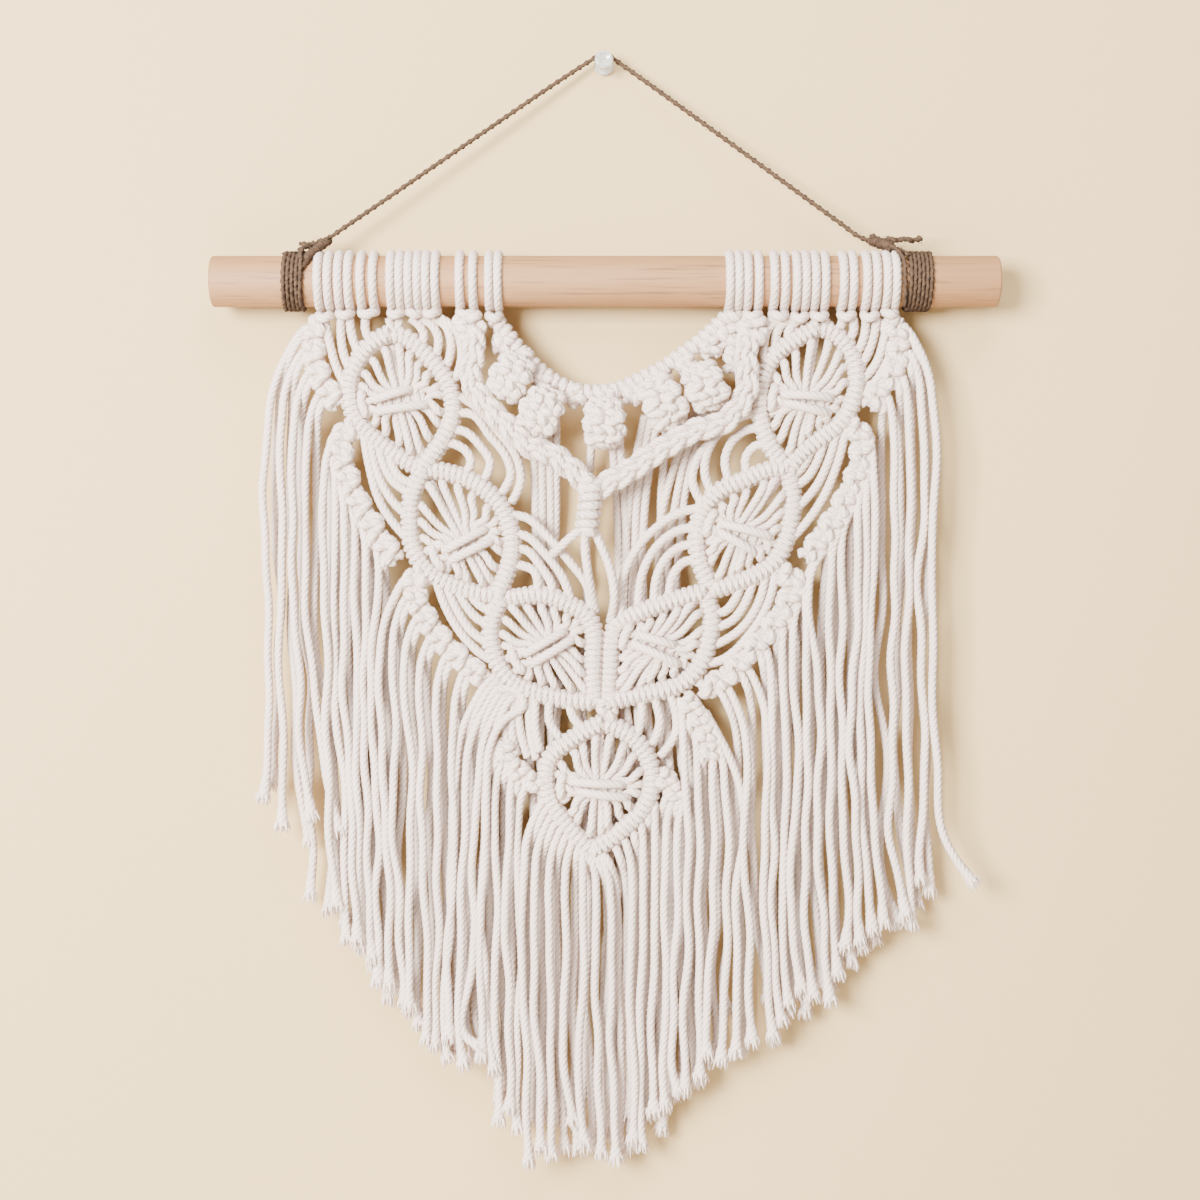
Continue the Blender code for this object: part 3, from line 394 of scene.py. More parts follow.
# half of the pin's section, from the middle of its flange: radius and depth
PIN_PROFILE = ((0.0, 0.0), (4.7, 0.0), (5.0, -0.4), (5.0, -1.2), (4.6, -1.6), (3.3, -2.1),
               (2.5, -3.2), (2.2, -5.0), (2.2, -7.4), (2.5, -8.8), (3.2, -9.8), (4.2, -10.4),
               (4.6, -11.0), (4.6, -12.4), (4.3, -13.0), (3.0, -13.2), (2.6, -12.9), (0.0, -12.7))

# the stage, in metres and watts; each light has a name, a place, a target, a size and a power
UPRIGHT = (math.radians(90), 0, 0)
FLAT = (0, 0, 0)
WALL_PLACE = (0, 0.0012, -0.1)
FLOOR_PLACE = (0, 0, -1.05)
STAGE_SIZE = 5.0
LIGHTS = (("key", (-0.95, -1.6, 0.0), (0, 0, -0.27), 0.75, 170),
          ("top_fill", (0.1, -1.2, 1.05), (0, 0, -0.2), 1.1, 47),
          ("left_fill", (-1.5, -1.5, 0.0), (0, 0, -0.3), 1.4, 6),
          ("right_fill", (1.5, -1.6, 0.1), (0, 0, -0.3), 1.4, 5),
          ("back_fill", (0.4, 1.6, 0.8), (0, 0, -0.3), 1.4, 9))
ROOM_COLOUR = (1.0, 0.87, 0.74, 1)
ROOM_LIGHT = 0.14
CAMERA_PLACE = (-0.002, -1.018, -0.272)
LENS, SENSOR = 59.97, 36.0   # in mm


# ---- sizes and colours ---------------------------------------------------------------------------
class HangingSizes(bpy.types.PropertyGroup):
    sway: FloatProperty(
        name="Sway", description="How far a hanging cord wanders from a straight line",
        default=0.0013, unit="LENGTH", precision=4)
    fray: FloatProperty(
        name="Fray", description="Length of the loose fibres at a cut end",
        default=0.0058, unit="LENGTH", precision=4)
    fray_fibres: IntProperty(
        name="Fibres", description="Loose fibres at each cut end", default=20, min=0)
    knot_pitch: FloatProperty(
        name="Hitch pitch", description="Distance between the ridges of a leaf's bar",
        default=0.0031, unit="LENGTH", precision=4)
    dowel_length: FloatProperty(
        name="Dowel length", description="From end to end",
        default=(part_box("dowel")[1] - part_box("dowel")[0]).x, unit="LENGTH")


class HangingColours(bpy.types.PropertyGroup):
    cotton: FloatVectorProperty(
        name="Cotton", description="Colour of the cotton cord", subtype="COLOR",
        default=(0.785, 0.636, 0.549))
    jute: FloatVectorProperty(
        name="Jute", description="Colour of the twine", subtype="COLOR",
        default=(0.066, 0.034, 0.0155))
    pine: FloatVectorProperty(
        name="Pine", description="Colour of the dowel", subtype="COLOR",
        default=(0.315, 0.158, 0.062))
    wall: FloatVectorProperty(
        name="Wall", description="Colour of the wall behind", subtype="COLOR",
        default=(0.585, 0.415, 0.20))
    clear_plastic: FloatVectorProperty(
        name="Pin", description="Tint of the clear pin", subtype="COLOR",
        default=(0.93, 0.95, 0.94))
    floor: FloatVectorProperty(
        name="Floor", description="Colour of the floor", subtype="COLOR",
        default=(0.72, 0.69, 0.63))


# ---- routes --------------------------------------------------------------------------------------
def spot(place, furrow_shade=HANG_Y):
    """A place of the pattern, in mm."""
    return Vector(((place[0] - PIN_SQUARE[0]) * SQUARE, furrow_shade, (PIN_SQUARE[1] - place[1]) * SQUARE))


def spots(places, depths=HANG_Y):
    """Places of the pattern, at one depth or at one each."""
    if not hasattr(depths, "__len__"):
        depths = [depths] * len(places)
    return [spot(place, furrow_shade) for place, furrow_shade in zip(places, depths)]


def route(points, step=ROUTE_STEP):
    """Evenly spaced places along a smooth curve through the points."""
    knots = np.array([tuple(point) for point in points], float)
    spans = np.maximum(np.linalg.norm(np.diff(knots, axis=0), axis=1), MERGED)[:, None]
    slopes = np.diff(knots, axis=0) / spans
    if len(knots) > 2:
        inner = (slopes[:-1] * spans[1:] + slopes[1:] * spans[:-1]) / (spans[:-1] + spans[1:])
        slopes = np.vstack([1.5 * slopes[:1] - 0.5 * inner[:1], inner,
                            1.5 * slopes[-1:] - 0.5 * inner[-1:]])
    else:
        slopes = np.vstack([slopes, slopes])
    t = np.linspace(0, 1, CURVE_STEPS, endpoint=False)[:, None]
    parts = []
    for start, end, leave, arrive, span in zip(knots, knots[1:], slopes, slopes[1:], spans):
        parts.append(start * (2 * t ** 3 - 3 * t ** 2 + 1) + end * (3 * t ** 2 - 2 * t ** 3)
                     + leave * span * (t ** 3 - 2 * t ** 2 + t)
                     + arrive * span * (t ** 3 - t ** 2))
    return evened(np.vstack(parts + [knots[-1:]]), step)


def reach_along(line):
    """How far along a line each of its points is."""
    return np.concatenate([[0], np.cumsum(np.linalg.norm(np.diff(line, axis=0), axis=1))])


def evened(line, step):
    """Places on a line that are a step apart."""
    line = np.array([tuple(point) for point in line], float)
    reach = reach_along(line)
    count = max(3, int(round(reach[-1] / step)) + 1)
    even = np.linspace(0, reach[-1], count)
    return np.stack([np.interp(even, reach, line[:, axis]) for axis in range(3)], axis=1)


def carried(stations, line, front=(0, -1, 0)):
    """Places given as across, along and forward of a line, in mm, carried onto that line.

    Forward is one direction for the whole line, or one for each of its points."""
    reach = reach_along(line)
    tangents = np.gradient(line, axis=0)
    tangents /= np.linalg.norm(tangents, axis=1)[:, None]
    fronts = np.broadcast_to(np.array(front, float), line.shape)
    placed = []
    for across, along, forward in stations:
        middle, tangent, toward = (
            np.array([np.interp(along, reach, curve[:, axis]) for axis in range(3)])
            for curve in (line, tangents, fronts))
        middle += tangents[0] * min(along, 0) + tangents[-1] * max(along - reach[-1], 0)
        side = np.cross(tangent, toward)
        side /= np.linalg.norm(side)
        placed.append(middle + side * across + toward / np.linalg.norm(toward) * forward)
    return placed


def coiled(line, radius, pitch, start=0.0):
    """The route of a cord that is hitched round a line, ridge beside ridge."""
    reach = reach_along(line)[-1]
    steps = COIL_STEPS * max(1, round(reach / pitch))
    stations = []
    for k in range(steps + 1):
        angle = start + math.tau * k / COIL_STEPS
        stations.append((radius * math.sin(angle), reach * k / steps, radius * math.cos(angle)))
    return carried(stations, line)


# ---- cords ---------------------------------------------------------------------------------------
def ply_section(name, plies, crest, groove):
    """The outline of a twisted cord: one crest and one groove for each ply."""
    outline = bpy.data.curves.new(name, "CURVE")
    outline.dimensions = "2D"
    ring = outline.splines.new("POLY")
    ring.points.add(2 * plies - 1)
    ring.use_cyclic_u = True
    for i, point in enumerate(ring.points):
        radius = MM * (groove if i % 2 else crest)
        angle = math.tau * i / (2 * plies)
        point.co = (radius * math.cos(angle), radius * math.sin(angle), 0, 1)
    return bpy.data.objects.new(name, outline)


class Skein:
    """Cords of one section that become one mesh."""

    def __init__(self, section):
        self.curve = bpy.data.curves.new("skein", "CURVE")
        self.curve.dimensions = "3D"
        self.curve.bevel_mode = "OBJECT"
        self.curve.bevel_object = bpy.data.objects[section]
        self.curve.use_fill_caps = True
        self.curve.twist_mode = "MINIMUM"

    def lay(self, line, cord, widths=(1.0, 1.0), turned=0.0):
        """Lays one cord along evenly spaced places in mm; widths swell or thin it on the way."""
        line = np.array([tuple(point) for point in line], float)
        strand = self.curve.splines.new("POLY")
        strand.points.add(len(line) - 1)
        places = np.ones((len(line), 4), np.float32)
        places[:, :3] = line * MM
        strand.points.foreach_set("co", places.ravel())
        twist = turned + math.tau * reach_along(line) / cord.ply_turn
        strand.points.foreach_set("tilt", twist.astype(np.float32))
        swell = np.interp(np.linspace(0, 1, len(line)), np.linspace(0, 1, len(widths)), widths)
        strand.points.foreach_set("radius", (swell * cord.radius).astype(np.float32))

    def into(self, bm, furrowed=True):
        """Adds the cords' mesh to bm; without furrows, their UV map stays on one crest, so the
        cotton's painted furrow shade and furrow bumps leave them plain.
        """
        before = len(bm.faces)
        holder = bpy.data.objects.new("skein", self.curve)
        bpy.context.scene.collection.objects.link(holder)
        graph = bpy.context.evaluated_depsgraph_get()
        mesh = bpy.data.meshes.new_from_object(holder.evaluated_get(graph))
        bpy.data.objects.remove(holder)
        bm.from_mesh(mesh)
        bpy.data.meshes.remove(mesh)
        bpy.data.curves.remove(self.curve)
        if not furrowed:
            layer = bm.loops.layers.uv.active
            bm.faces.ensure_lookup_table()
            for face in bm.faces[before:]:
                for loop in face.loops:
                    loop[layer].uv.y = 0.0


class Knotting:
    """One cotton piece of the hanging while it is knotted: its cords and its loose fibres."""

    def __init__(self, name):
        self.name = name
        self.cords = Skein("cotton_section")
        self.fibres = Skein("fibre_section")

    def lay(self, line, cord=COTTON, **options):
        """Lays one of its cords along a line."""
        self.cords.lay(line, cord, **options)

    def finished(self, node):
        """Makes the piece, in place of the frame's node."""
        bm = bmesh.new()
        self.cords.into(bm)
        if len(self.fibres.curve.splines):
            self.fibres.into(bm, furrowed=False)
        bmesh.ops.remove_doubles(bm, verts=bm.verts, dist=MERGED)
        placed_piece(self.name, bm, "cotton", node)


def placed_piece(name, bm, slot, node):
    """Makes a piece of the hanging from a bmesh in metres."""
    bmesh.ops.recalc_face_normals(bm, faces=bm.faces)
    mesh = bpy.data.meshes.new(name)
    bm.to_mesh(mesh)
    bm.free()
    mesh.materials.append(finish_named(slot))
    mesh.shade_smooth()
    piece = bpy.data.objects.new(name, mesh)
    bpy.context.scene.collection.objects.link(piece)
    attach(piece, "root")
    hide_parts(node)
    return piece


# ---- hanging cords -------------------------------------------------------------------------------
FRAY_TURN = 0.382            # share of a turn from one loose fibre of a cut end to the next
FRAY_SUNK = 2.0              # how far up in the cord they start
FRAY_ROOM = 2.1              # half the thickness of the cord that they start in
FRAY_WIDTHS = (1.2, 1.1, 0.9, 0.3)
FLARE = (1.25, 1.7)          # how far a cut end opens, from the least to the most
SWAY_WAVES = (150, 83, 47)   # lengths of the bends of a hanging cord
SWAY_SHARES = (1.0, 0.55)    # how much of them goes across, and how much in depth
SWAY_START, SWAY_GROWTH = 30, 60     # where they set in, and the length in which they grow
EVEN_FALL = [1.0] * 60       # widths of a falling cord down to its flared end
LAYERS = (-20.4, -11.5)      # depths in which a fringe's cords hang, by turns
LAYER_SPREAD = 1.8
LEAVES_KNOT = (0.45, 0.75)   # how far down a knot its first and its second cord leave it
# squares from the middle line of a chain or of a bar to where its cords come out, and from there
# back to where they start behind it, across and up
FROM_CHAIN, FROM_BAR = 11, 3
START_BACK, START_UP = 8, 5
# a cord turns down in the longer a reach the further it goes across: the reach for each square
# across, the least reach, how far below its root its place is looked up, and how far below the
# turn its next place lies at least
TURN_SLOPE, TURN_LEAST, TURN_LOOK, TURN_CLEAR = 2.2, 24, 90, 30
TURN_SHAPE = ((0.5, 0.26), (0.85, 0.56), (1.0, 1.0))    # shares of the way across and down


def fray(knotting, end, direction, dice, radius):
    """The brush of loose fibres at a cut end."""
    sizes = bpy.context.scene.hanging_sizes
    direction = Vector(direction).normalized()
    aside = direction.cross(Vector((0, 1, 0))).normalized()
    outward = direction.cross(aside)
    for i in range(sizes.fray_fibres):
        angle = math.tau * (FRAY_TURN * i + 0.1 * dice.random())
        share = math.sqrt((i + 0.5) / sizes.fray_fibres)
        lean = (aside * math.cos(angle) + outward * math.sin(angle)) * share
        length = sizes.fray / MM * dice.uniform(0.65, 1.1)
        start = Vector(end) + lean * radius - direction * FRAY_SUNK
        bend = start + direction * length * 0.5 + lean * dice.uniform(0.2, 1.2)
        last = start + direction * length + lean * dice.uniform(0.4, 2.2)
        knotting.fibres.lay([start, start.lerp(bend, 0.5), bend, last], CUT_FIBRE,
                            widths=FRAY_WIDTHS)


def hanging_line(places, depths, dice):
    """A cord's fall through places of the pattern, with the slack bends of soft cotton."""
    amount = bpy.context.scene.hanging_sizes.sway / MM
    line = route(spots(places, depths))
    reach = reach_along(line)
    fade = np.clip((reach - SWAY_START) / SWAY_GROWTH, 0, 1)
    for axis, share in enumerate(SWAY_SHARES):
        for wave in SWAY_WAVES:
            phase = dice.uniform(0, math.tau)
            length = wave * dice.uniform(0.85, 1.2)
            size = amount * share * (wave / SWAY_WAVES[0]) ** 0.6 * dice.uniform(0.3, 1.0)
            line[:, axis] += size * fade * np.sin(math.tau * reach / length + phase)
    return line


def hang(knotting, places, depths, dice):
    """A cord that hangs through places of the pattern, down to its frayed end."""
    line = hanging_line(places, depths, dice)
    flare = dice.uniform(*FLARE)
    knotting.lay(line, FALLING, turned=dice.uniform(0, math.tau),
                 widths=EVEN_FALL + [1.03, 0.9 + flare * 0.18, 0.4 + flare * 0.6, flare])
    fray(knotting, line[-1], line[-1] - line[-4], dice, FRAY_ROOM * flare)


def fringe_cords(knotting, row, dice, knotted):
    """The cords that leave one side of a chain or bar, turn down and hang to their cut ends."""
    line = route(spots(row.roots))
    reach = reach_along(line)[-1]
    count = len(row.tips)
    side = row.side
    for i, (falls, tip) in enumerate(zip(row.falls, row.tips)):
        second = i % 2
        share = (i // 2 + LEAVES_KNOT[second]) * 2 / count if knotted else (i + 0.5) / count
        root = Vector(carried([(0, reach * share, 0)], line)[0])
        across = PIN_SQUARE[0] + root.x / SQUARE + side * (FROM_CHAIN if knotted else FROM_BAR)
        down = PIN_SQUARE[1] - root.z / SQUARE
        layer = LAYERS[second] + dice.uniform(-LAYER_SPREAD, LAYER_SPREAD)
        heights = [row.first_down + FALL_STEP * step for step in range(len(falls))]
        drop = TURN_SLOPE * abs(np.interp(down + TURN_LOOK, heights, falls) - across) + TURN_LEAST
        shift = np.interp(down + drop, heights, falls) - across
        places = [(across - side * START_BACK, down - START_UP), (across, down)]
        places += [(across + shift * part, down + drop * deep) for part, deep in TURN_SHAPE]
        lowest = down + drop + TURN_CLEAR
        places += [place for place in zip(falls, heights) if place[1] > lowest] + [tip]
        depths = [HANG_Y + 2.5, HANG_Y, HANG_Y - 1.5, (HANG_Y + layer) / 2]
        hang(knotting, places, depths + [layer] * (len(places) - len(depths)), dice)


# ---- knots ---------------------------------------------------------------------------------------
HEAD_LIFT = 0.6              # from the dowel's face to the middle of a cord that goes over it
HEAD_STEPS = 28
HEAD_FROM, HEAD_TURN = -215, 330     # degrees at which it starts, and through which it goes
# one side of the fold that holds the two cords: inward, back, up, and the share of its slope
FOLD_SIDE = ((0.6, 2.5, 2.0, 0), (-0.4, -2.2, 1.2, 0), (0.6, -5.0, 0.0, 1))
FOLD_MIDDLE = (-6.0, -0.7)   # back and up
FOLD_DROP = 4.9              # from the dowel's underside to the fold
SPOKES = 10
SPOKES_FROM = 0.03           # share of a bar that stays free of spokes at either tip
SPOKE_WIDTHS = (1.0, 1.14, 1.1, 1.04, 0.98, 0.85)
BAND_SPREAD = 11.0           # half the width of the spokes where the band holds them
BAND_FRONT = Vector((0, -6.4, 0))
BAND_EDGE = Vector((0, -3.4, 0))
BEHIND = Vector((0, 3.0, 0))
BAR_LIFT = 0.6               # one bar of a leaf starts above the other and ends below it
# from the middle line of a core to that of the cord that is hitched round it, and its pitch
BAR_HITCHED = 3.2
COLLAR_HITCHED, COLLAR_PITCH = 2.6, 4.4
BUNDLE_HITCHED, BUNDLE_PITCH = 4.1, 4.4
RIM_STEP = 0.8
BERRY_KNOTS = 6
BERRY_DEPTH = HANG_Y - 4.5
BERRY_SKIN = 4.0             # from a chain's middle line to the outside of its knots
BERRY_APART = 0.21           # share of a berry's half width from its middle to each chain
BERRY_KNOT_WIDTH = 0.078     # width of its knots for each mm of its half width
BERRY_STEPS = 33
BERRY_ROLL = 300             # degrees from a berry's first knot to its last
BERRY_STAGGER = 14           # half the degrees by which one of its chains runs ahead
BERRY_SPLAY = 16             # degrees by which each chain turns away from the middle
PLAIT_TURN = 30.0            # length in which a plait's strand comes back to its side
PLAIT_WIDE, PLAIT_DEEP, PLAIT_PAIR = 2.7, 2.2, 1.7

# the two working cords of a square knot: across, share of the knot's length, forward
FIRST_CORD = ((-1.3, 0.0, 0.4), (-3.9, 0.12, 0.8), (-2.8, 0.22, 3.8), (0.0, 0.3, 2.3),
              (2.8, 0.38, 3.8), (4.4, 0.5, 0.5), (2.8, 0.6, 3.8), (0.0, 0.68, 2.3),
              (-2.8, 0.76, 3.8), (-3.9, 0.88, 0.8), (-1.3, 1.0, 0.4))
SECOND_CORD = ((1.3, 0.0, 0.4), (4.0, 0.16, 0.4), (4.7, 0.31, 0.8), (2.5, 0.43, -2.0),
               (-1.6, 0.46, -2.6), (-4.5, 0.5, -0.2), (-4.8, 0.66, 0.8), (-3.0, 0.78, -1.6),
               (0.6, 0.83, -2.4), (3.4, 0.88, -0.6), (1.3, 1.0, 0.4))
# how unevenly they are pulled: the share of their size, the share of a knot's length, and mm
KNOT_UNEVEN = (0.1, 0.02, 0.3)


def square_knots(knotting, line, knots, width=1.0, furrow_shade=0.9, cord=COTTON, front=(0, -1, 0),
                 mirrored=False, loose=1.0):
    """A chain of square knots along a line, tied round two filler cords."""
    uneven = random.Random(int(1000 + 10 * line[0][0]))
    swells, slips, lifts = (loose * part for part in KNOT_UNEVEN)
    pitch = reach_along(line)[-1] / knots
    hand = -width if mirrored else width
    for stations in (FIRST_CORD, SECOND_CORD):
        worked = []
        for knot in range(knots):
            size = hand * (1 + swells * uneven.uniform(-1, 1))
            worked += [(across * size, (knot + along + slips * uneven.uniform(-1, 1)) * pitch,
                        forward * furrow_shade + lifts * uneven.uniform(-1, 1))
                       for across, along, forward in stations[:-1]]
        across, along, forward = stations[-1]
        worked.append((across * hand, knots * pitch, forward * furrow_shade))
        knotting.lay(route(carried(worked, line, front), TIGHT_STEP), cord)
    for across in (-width, width):
        filler = [(across, pitch * knots * k / 12, 0.2) for k in range(13)]
        knotting.lay(route(carried(filler, line, front), 2.0), FILLER)


def larks_heads(knotting, node):
    """Pairs of cords over the dowel, each held by its own fold under it."""
    over = DOWEL_RADIUS + HEAD_LIFT
    for head in HEADS:
        if head.node != node:
            continue
        first, second = spot((head.first, 0)).x, spot((head.second, 0)).x
        for x in (first, second):
            ring = []
            for k in reversed(range(HEAD_STEPS)):
                turn = math.radians(HEAD_FROM + HEAD_TURN * k / (HEAD_STEPS - 1))
                ring.append((x, HANG_Y + over * math.sin(turn), DOWEL_Z + over * math.cos(turn)))
            knotting.lay(route(ring), COTTON, turned=x)
        slip = 1.3 * math.sin(0.37 * head.first)
        slope = 0.7 * math.sin(0.53 * head.second)
        fold_z = DOWEL_Z - DOWEL_RADIUS - FOLD_DROP + slip
        fold = [(first + inward, HANG_Y + back, fold_z + up + part * slope)
                for inward, back, up, part in FOLD_SIDE]
        fold.append(((first + second) / 2, HANG_Y + FOLD_MIDDLE[0], fold_z + FOLD_MIDDLE[1]))
        fold += [(second - inward, HANG_Y + back, fold_z + up - part * slope)
                 for inward, back, up, part in reversed(FOLD_SIDE)]
        knotting.lay(route(fold, FOLD_STEP))


def leaf_bars(knotting, row):
    """The two hitched bars of a leaf, from tip to tip."""
    pitch = bpy.context.scene.hanging_sizes.knot_pitch / MM
    for side, lift in ((row.left, -BAR_LIFT), (row.right, BAR_LIFT)):
        places = (row.top,) + side + (row.foot,)
        depths = [HANG_Y - lift * 2.0 * k / (len(places) - 1) + lift for k in range(len(places))]
        core = route(spots(places, depths))
        knotting.lay(core, BAR_CORE)
        knotting.lay(coiled(core, BAR_HITCHED, pitch), HITCH)


def leaf_spokes(knotting, row, centre, along, across):
    """The cords that run from a leaf's bars to the band at its middle."""
    uneven = random.Random(row.top[0])
    rim = [Vector(place) for side in (row.left, row.right)
           for place in route(spots((row.top,) + side + (row.foot,)), RIM_STEP)]
    for half in (1, -1):
        arc = [place for place in rim if (place - centre).dot(across) * half > 0.5]
        arc.sort(key=lambda place: math.atan2((place - centre).dot(across) * half,
                                              (place - centre).dot(along)))
        arc = evened(arc, RIM_STEP)
        for i in range(SPOKES):
            share = i / (SPOKES - 1)
            rim_share = SPOKES_FROM + (1 - 2 * SPOKES_FROM) * share + uneven.uniform(-0.008, 0.008)
            end = Vector(arc[int(rim_share * (len(arc) - 1))])
            waist = centre + along * BAND_SPREAD * (1 - 2 * share)
            inward = (centre - end).normalized()
            bend = inward.cross(Vector((0, 1, 0))) * uneven.uniform(-1.4, 1.4)
            forward = Vector((0, -1.0 - 1.6 * (i % 2) - uneven.uniform(0, 0.5), 0))
            knotting.lay(route([end + inward * 1.5 + Vector((0, 3.8, 0)),
                                end + inward * 4.6 + Vector((0, 2.0, 0)) + bend * 0.4,
                                end + inward * 7.4 + bend + forward,
                                end.lerp(waist, 0.6) + bend * 0.6 + forward,
                                waist + across * half * 4.0 + forward,
                                waist - across * half * 2.0 + forward * 0.5]), SPOKE, turned=i,
                         widths=SPOKE_WIDTHS)
    for tip in (row.top, row.foot):
        tip = spot(tip)
        knotting.lay(route([tip.lerp(centre, 0.1) + Vector((0, 3.8, 0)),
                            tip.lerp(centre, 0.34) + Vector((0, 1.0, 0)),
                            tip.lerp(centre, 0.85)]), SPOKE)


def leaves(knotting, node):
    """A node's leaves: two hitched bars from tip to tip, spokes, and the band round these."""
    for row in LEAVES:
        if row.node != node:
            continue
        leaf_bars(knotting, row)
        upper, lower = (spots(bar) for bar in row.bars)
        along = ((upper[1] - upper[0]) + (lower[1] - lower[0])).normalized()
        across = along.cross(Vector((0, 1, 0)))
        leaf_spokes(knotting, row, spot(row.centre), along, across)
        for near, far in (upper, lower):
            knotting.lay(route([far + BEHIND, far + BAND_EDGE, far.lerp(near, 0.25) + BAND_FRONT,
                                far.lerp(near, 0.75) + BAND_FRONT, near + BAND_EDGE,
                                near + BEHIND], TIGHT_STEP))
        hook = spot(row.loop, HANG_Y - 4.5)
        knotting.lay(route([hook + across * 5.5 + BEHIND, hook + across * 4.4, hook - along * 0.8,
                            hook - across * 4.4, hook - across * 5.5 + BEHIND], TIGHT_STEP))


def berry(knotting, row):
    """Two chains of square knots, side by side, rolled up over themselves into a ball."""
    centre = spot(row.place, BERRY_DEPTH)
    tilt = Matrix.Rotation(math.radians(row.tilt), 3, "Y")
    radius = row.height * SQUARE / 2 - BERRY_SKIN
    half = row.width * SQUARE / 2
    for side in (-1, 1):
        turn = Matrix.Rotation(math.radians(BERRY_SPLAY * side), 3, "Z")
        middle = centre + tilt @ Vector((side * half * BERRY_APART, 0, 0))
        line, fronts = [], []
        for k in range(BERRY_STEPS):
            angle = math.radians(BERRY_ROLL * (k / (BERRY_STEPS - 1) - 0.5) + BERRY_STAGGER * side)
            outward = tilt @ turn @ Vector((0, -math.cos(angle), -math.sin(angle)))
            line.append(tuple(middle + outward * radius))
            fronts.append(tuple(outward))
        square_knots(knotting, np.array(line), BERRY_KNOTS, width=half * BERRY_KNOT_WIDTH,
                     furrow_shade=0.75, cord=ROLLED, front=np.array(fronts), mirrored=side > 0, loose=2.0)


def plait(knotting, places):
    """Three doubled cords plaited along a line."""
    line = route(spots(places, [HANG_Y - 2.0] + [FRONT_Y] * (len(places) - 1)))
    reach = reach_along(line)[-1]
    count = int(reach / ROUTE_STEP)
    for strand in range(3):
        for shift in (-PLAIT_PAIR, PLAIT_PAIR):
            stations = []
            for k in range(count + 1):
                along = reach * k / count
                angle = math.tau * (along / PLAIT_TURN + strand / 3)
                stations.append((PLAIT_WIDE * math.sin(angle) + shift, along,
                                 PLAIT_DEEP * math.sin(2 * angle)))
            knotting.lay(carried(stations, line), PLAITED)


# ---- finishes ------------------------------------------------------------------------------------
class Finish:
    """A material, whose nodes are added and linked in one go."""

    def __init__(self, name, roughness):
        self.material = bpy.data.materials.new(name)
        self.material.use_nodes = True
        self.nodes = self.material.node_tree.nodes
        self.shader = self.nodes["Principled BSDF"]
        self.give(self.shader, "Roughness", roughness)
        self.under = {}      # the bump that the next one lies on

    def give(self, node, socket, value):
        """Sets a node's socket, or links it where the value is another node's output."""
        if isinstance(value, bpy.types.NodeSocket):
            self.material.node_tree.links.new(value, node.inputs[socket])
        else:
            node.inputs[socket].default_value = value

    def add(self, kind, inputs=(), **settings):
        """Adds a node and returns its outputs."""
        node = self.nodes.new(kind)
        for key, value in settings.items():
            setattr(node, key, value)
        for socket, value in dict(inputs).items():
            self.give(node, socket, value)
        return node.outputs

    def noise(self, scale, detail, roughness=0.5, stretch=None):
        """Noise that stays put on the piece."""
        place = self.add("ShaderNodeTexCoord")["Object"]
        if stretch:
            place = self.add("ShaderNodeMapping", {"Vector": place, "Scale": stretch})[0]
        return self.add("ShaderNodeTexNoise", {"Vector": place, "Scale": scale, "Detail": detail,
                                               "Roughness": roughness})["Fac"]

    def graded(self, factor, stops):
        """A colour that a factor picks between stops."""
        ramp = self.nodes.new("ShaderNodeValToRGB")
        self.give(ramp, "Fac", factor)
        while len(ramp.color_ramp.elements) < len(stops):
            ramp.color_ramp.elements.new(0.5)
        for element, (position, colour) in zip(ramp.color_ramp.elements, stops):
            element.position = position
            element.color = colour
        return ramp.outputs["Color"]

    def ranged(self, value, start, end):
        """Carries the range of the start to that of the end."""
        return self.add("ShaderNodeMapRange", {
            "Value": value, "From Min": start[0], "From Max": start[1],
            "To Min": end[0], "To Max": end[1]})[0]

    def mixed(self, factor, first, second):
        """Two colours, mixed by a factor."""
        return self.add("ShaderNodeMix", {"Factor": factor, 6: first, 7: second},
                        data_type="RGBA")[2]

    def raise_by(self, height, strength, distance):
        """A bump on the surface, over those that it has."""
        bump = self.add("ShaderNodeBump", {
            "Height": height, "Strength": strength, "Distance": distance, **self.under})
        self.under = {"Normal": bump["Normal"]}
        self.give(self.shader, "Normal", bump["Normal"])


def shade(colour, red, green=None, blue=None):
    """A colour with its parts made stronger or weaker, all alike or each by its own factor."""
    factors = (red, red if green is None else green, red if blue is None else blue)
    return tuple(min(1.0, part * factor) for part, factor in zip(colour, factors)) + (1.0,)


def cotton_finish(colour):
    finish = Finish("cotton_cord", 0.92)
    fibres = finish.noise(900.0, 5.0, 0.7)
    base = finish.graded(finish.noise(22.0, 3.0), (
        (0.3, shade(colour, 0.95)), (0.5, shade(colour, 1.0)), (0.72, shade(colour, 1.04))))
    speck = finish.mixed(fibres, shade(colour, 0.93), base)
    uv_map = finish.add("ShaderNodeUVMap", uv_map="UVMap")[0]
    around = finish.add("ShaderNodeSeparateXYZ", {0: uv_map})[AROUND]
    turns = finish.add("ShaderNodeMath", {0: around, 1: math.tau * YARNS}, operation="MULTIPLY")[0]
    furrows = finish.add("ShaderNodeMath", {0: turns}, operation="COSINE")[0]
    # painted shade: each furrow between the plies is darkened in the base colour, towards a deeper
    # tone of the cotton, for the shade that falls in it
    furrow_shade = finish.ranged(furrows, (-1.0, 0.0), (0.36, 0.0))
    finish.give(finish.shader, "Base Color", finish.mixed(
        furrow_shade, speck, shade(colour, *(part * 0.62 for part in colour))))
    finish.raise_by(fibres, 0.5, 0.0004)
    finish.raise_by(furrows, 0.6, 0.0002)
    finish.give(finish.shader, "Sheen Weight", 0.2)
    finish.give(finish.shader, "Sheen Roughness", 0.6)
    return finish.material


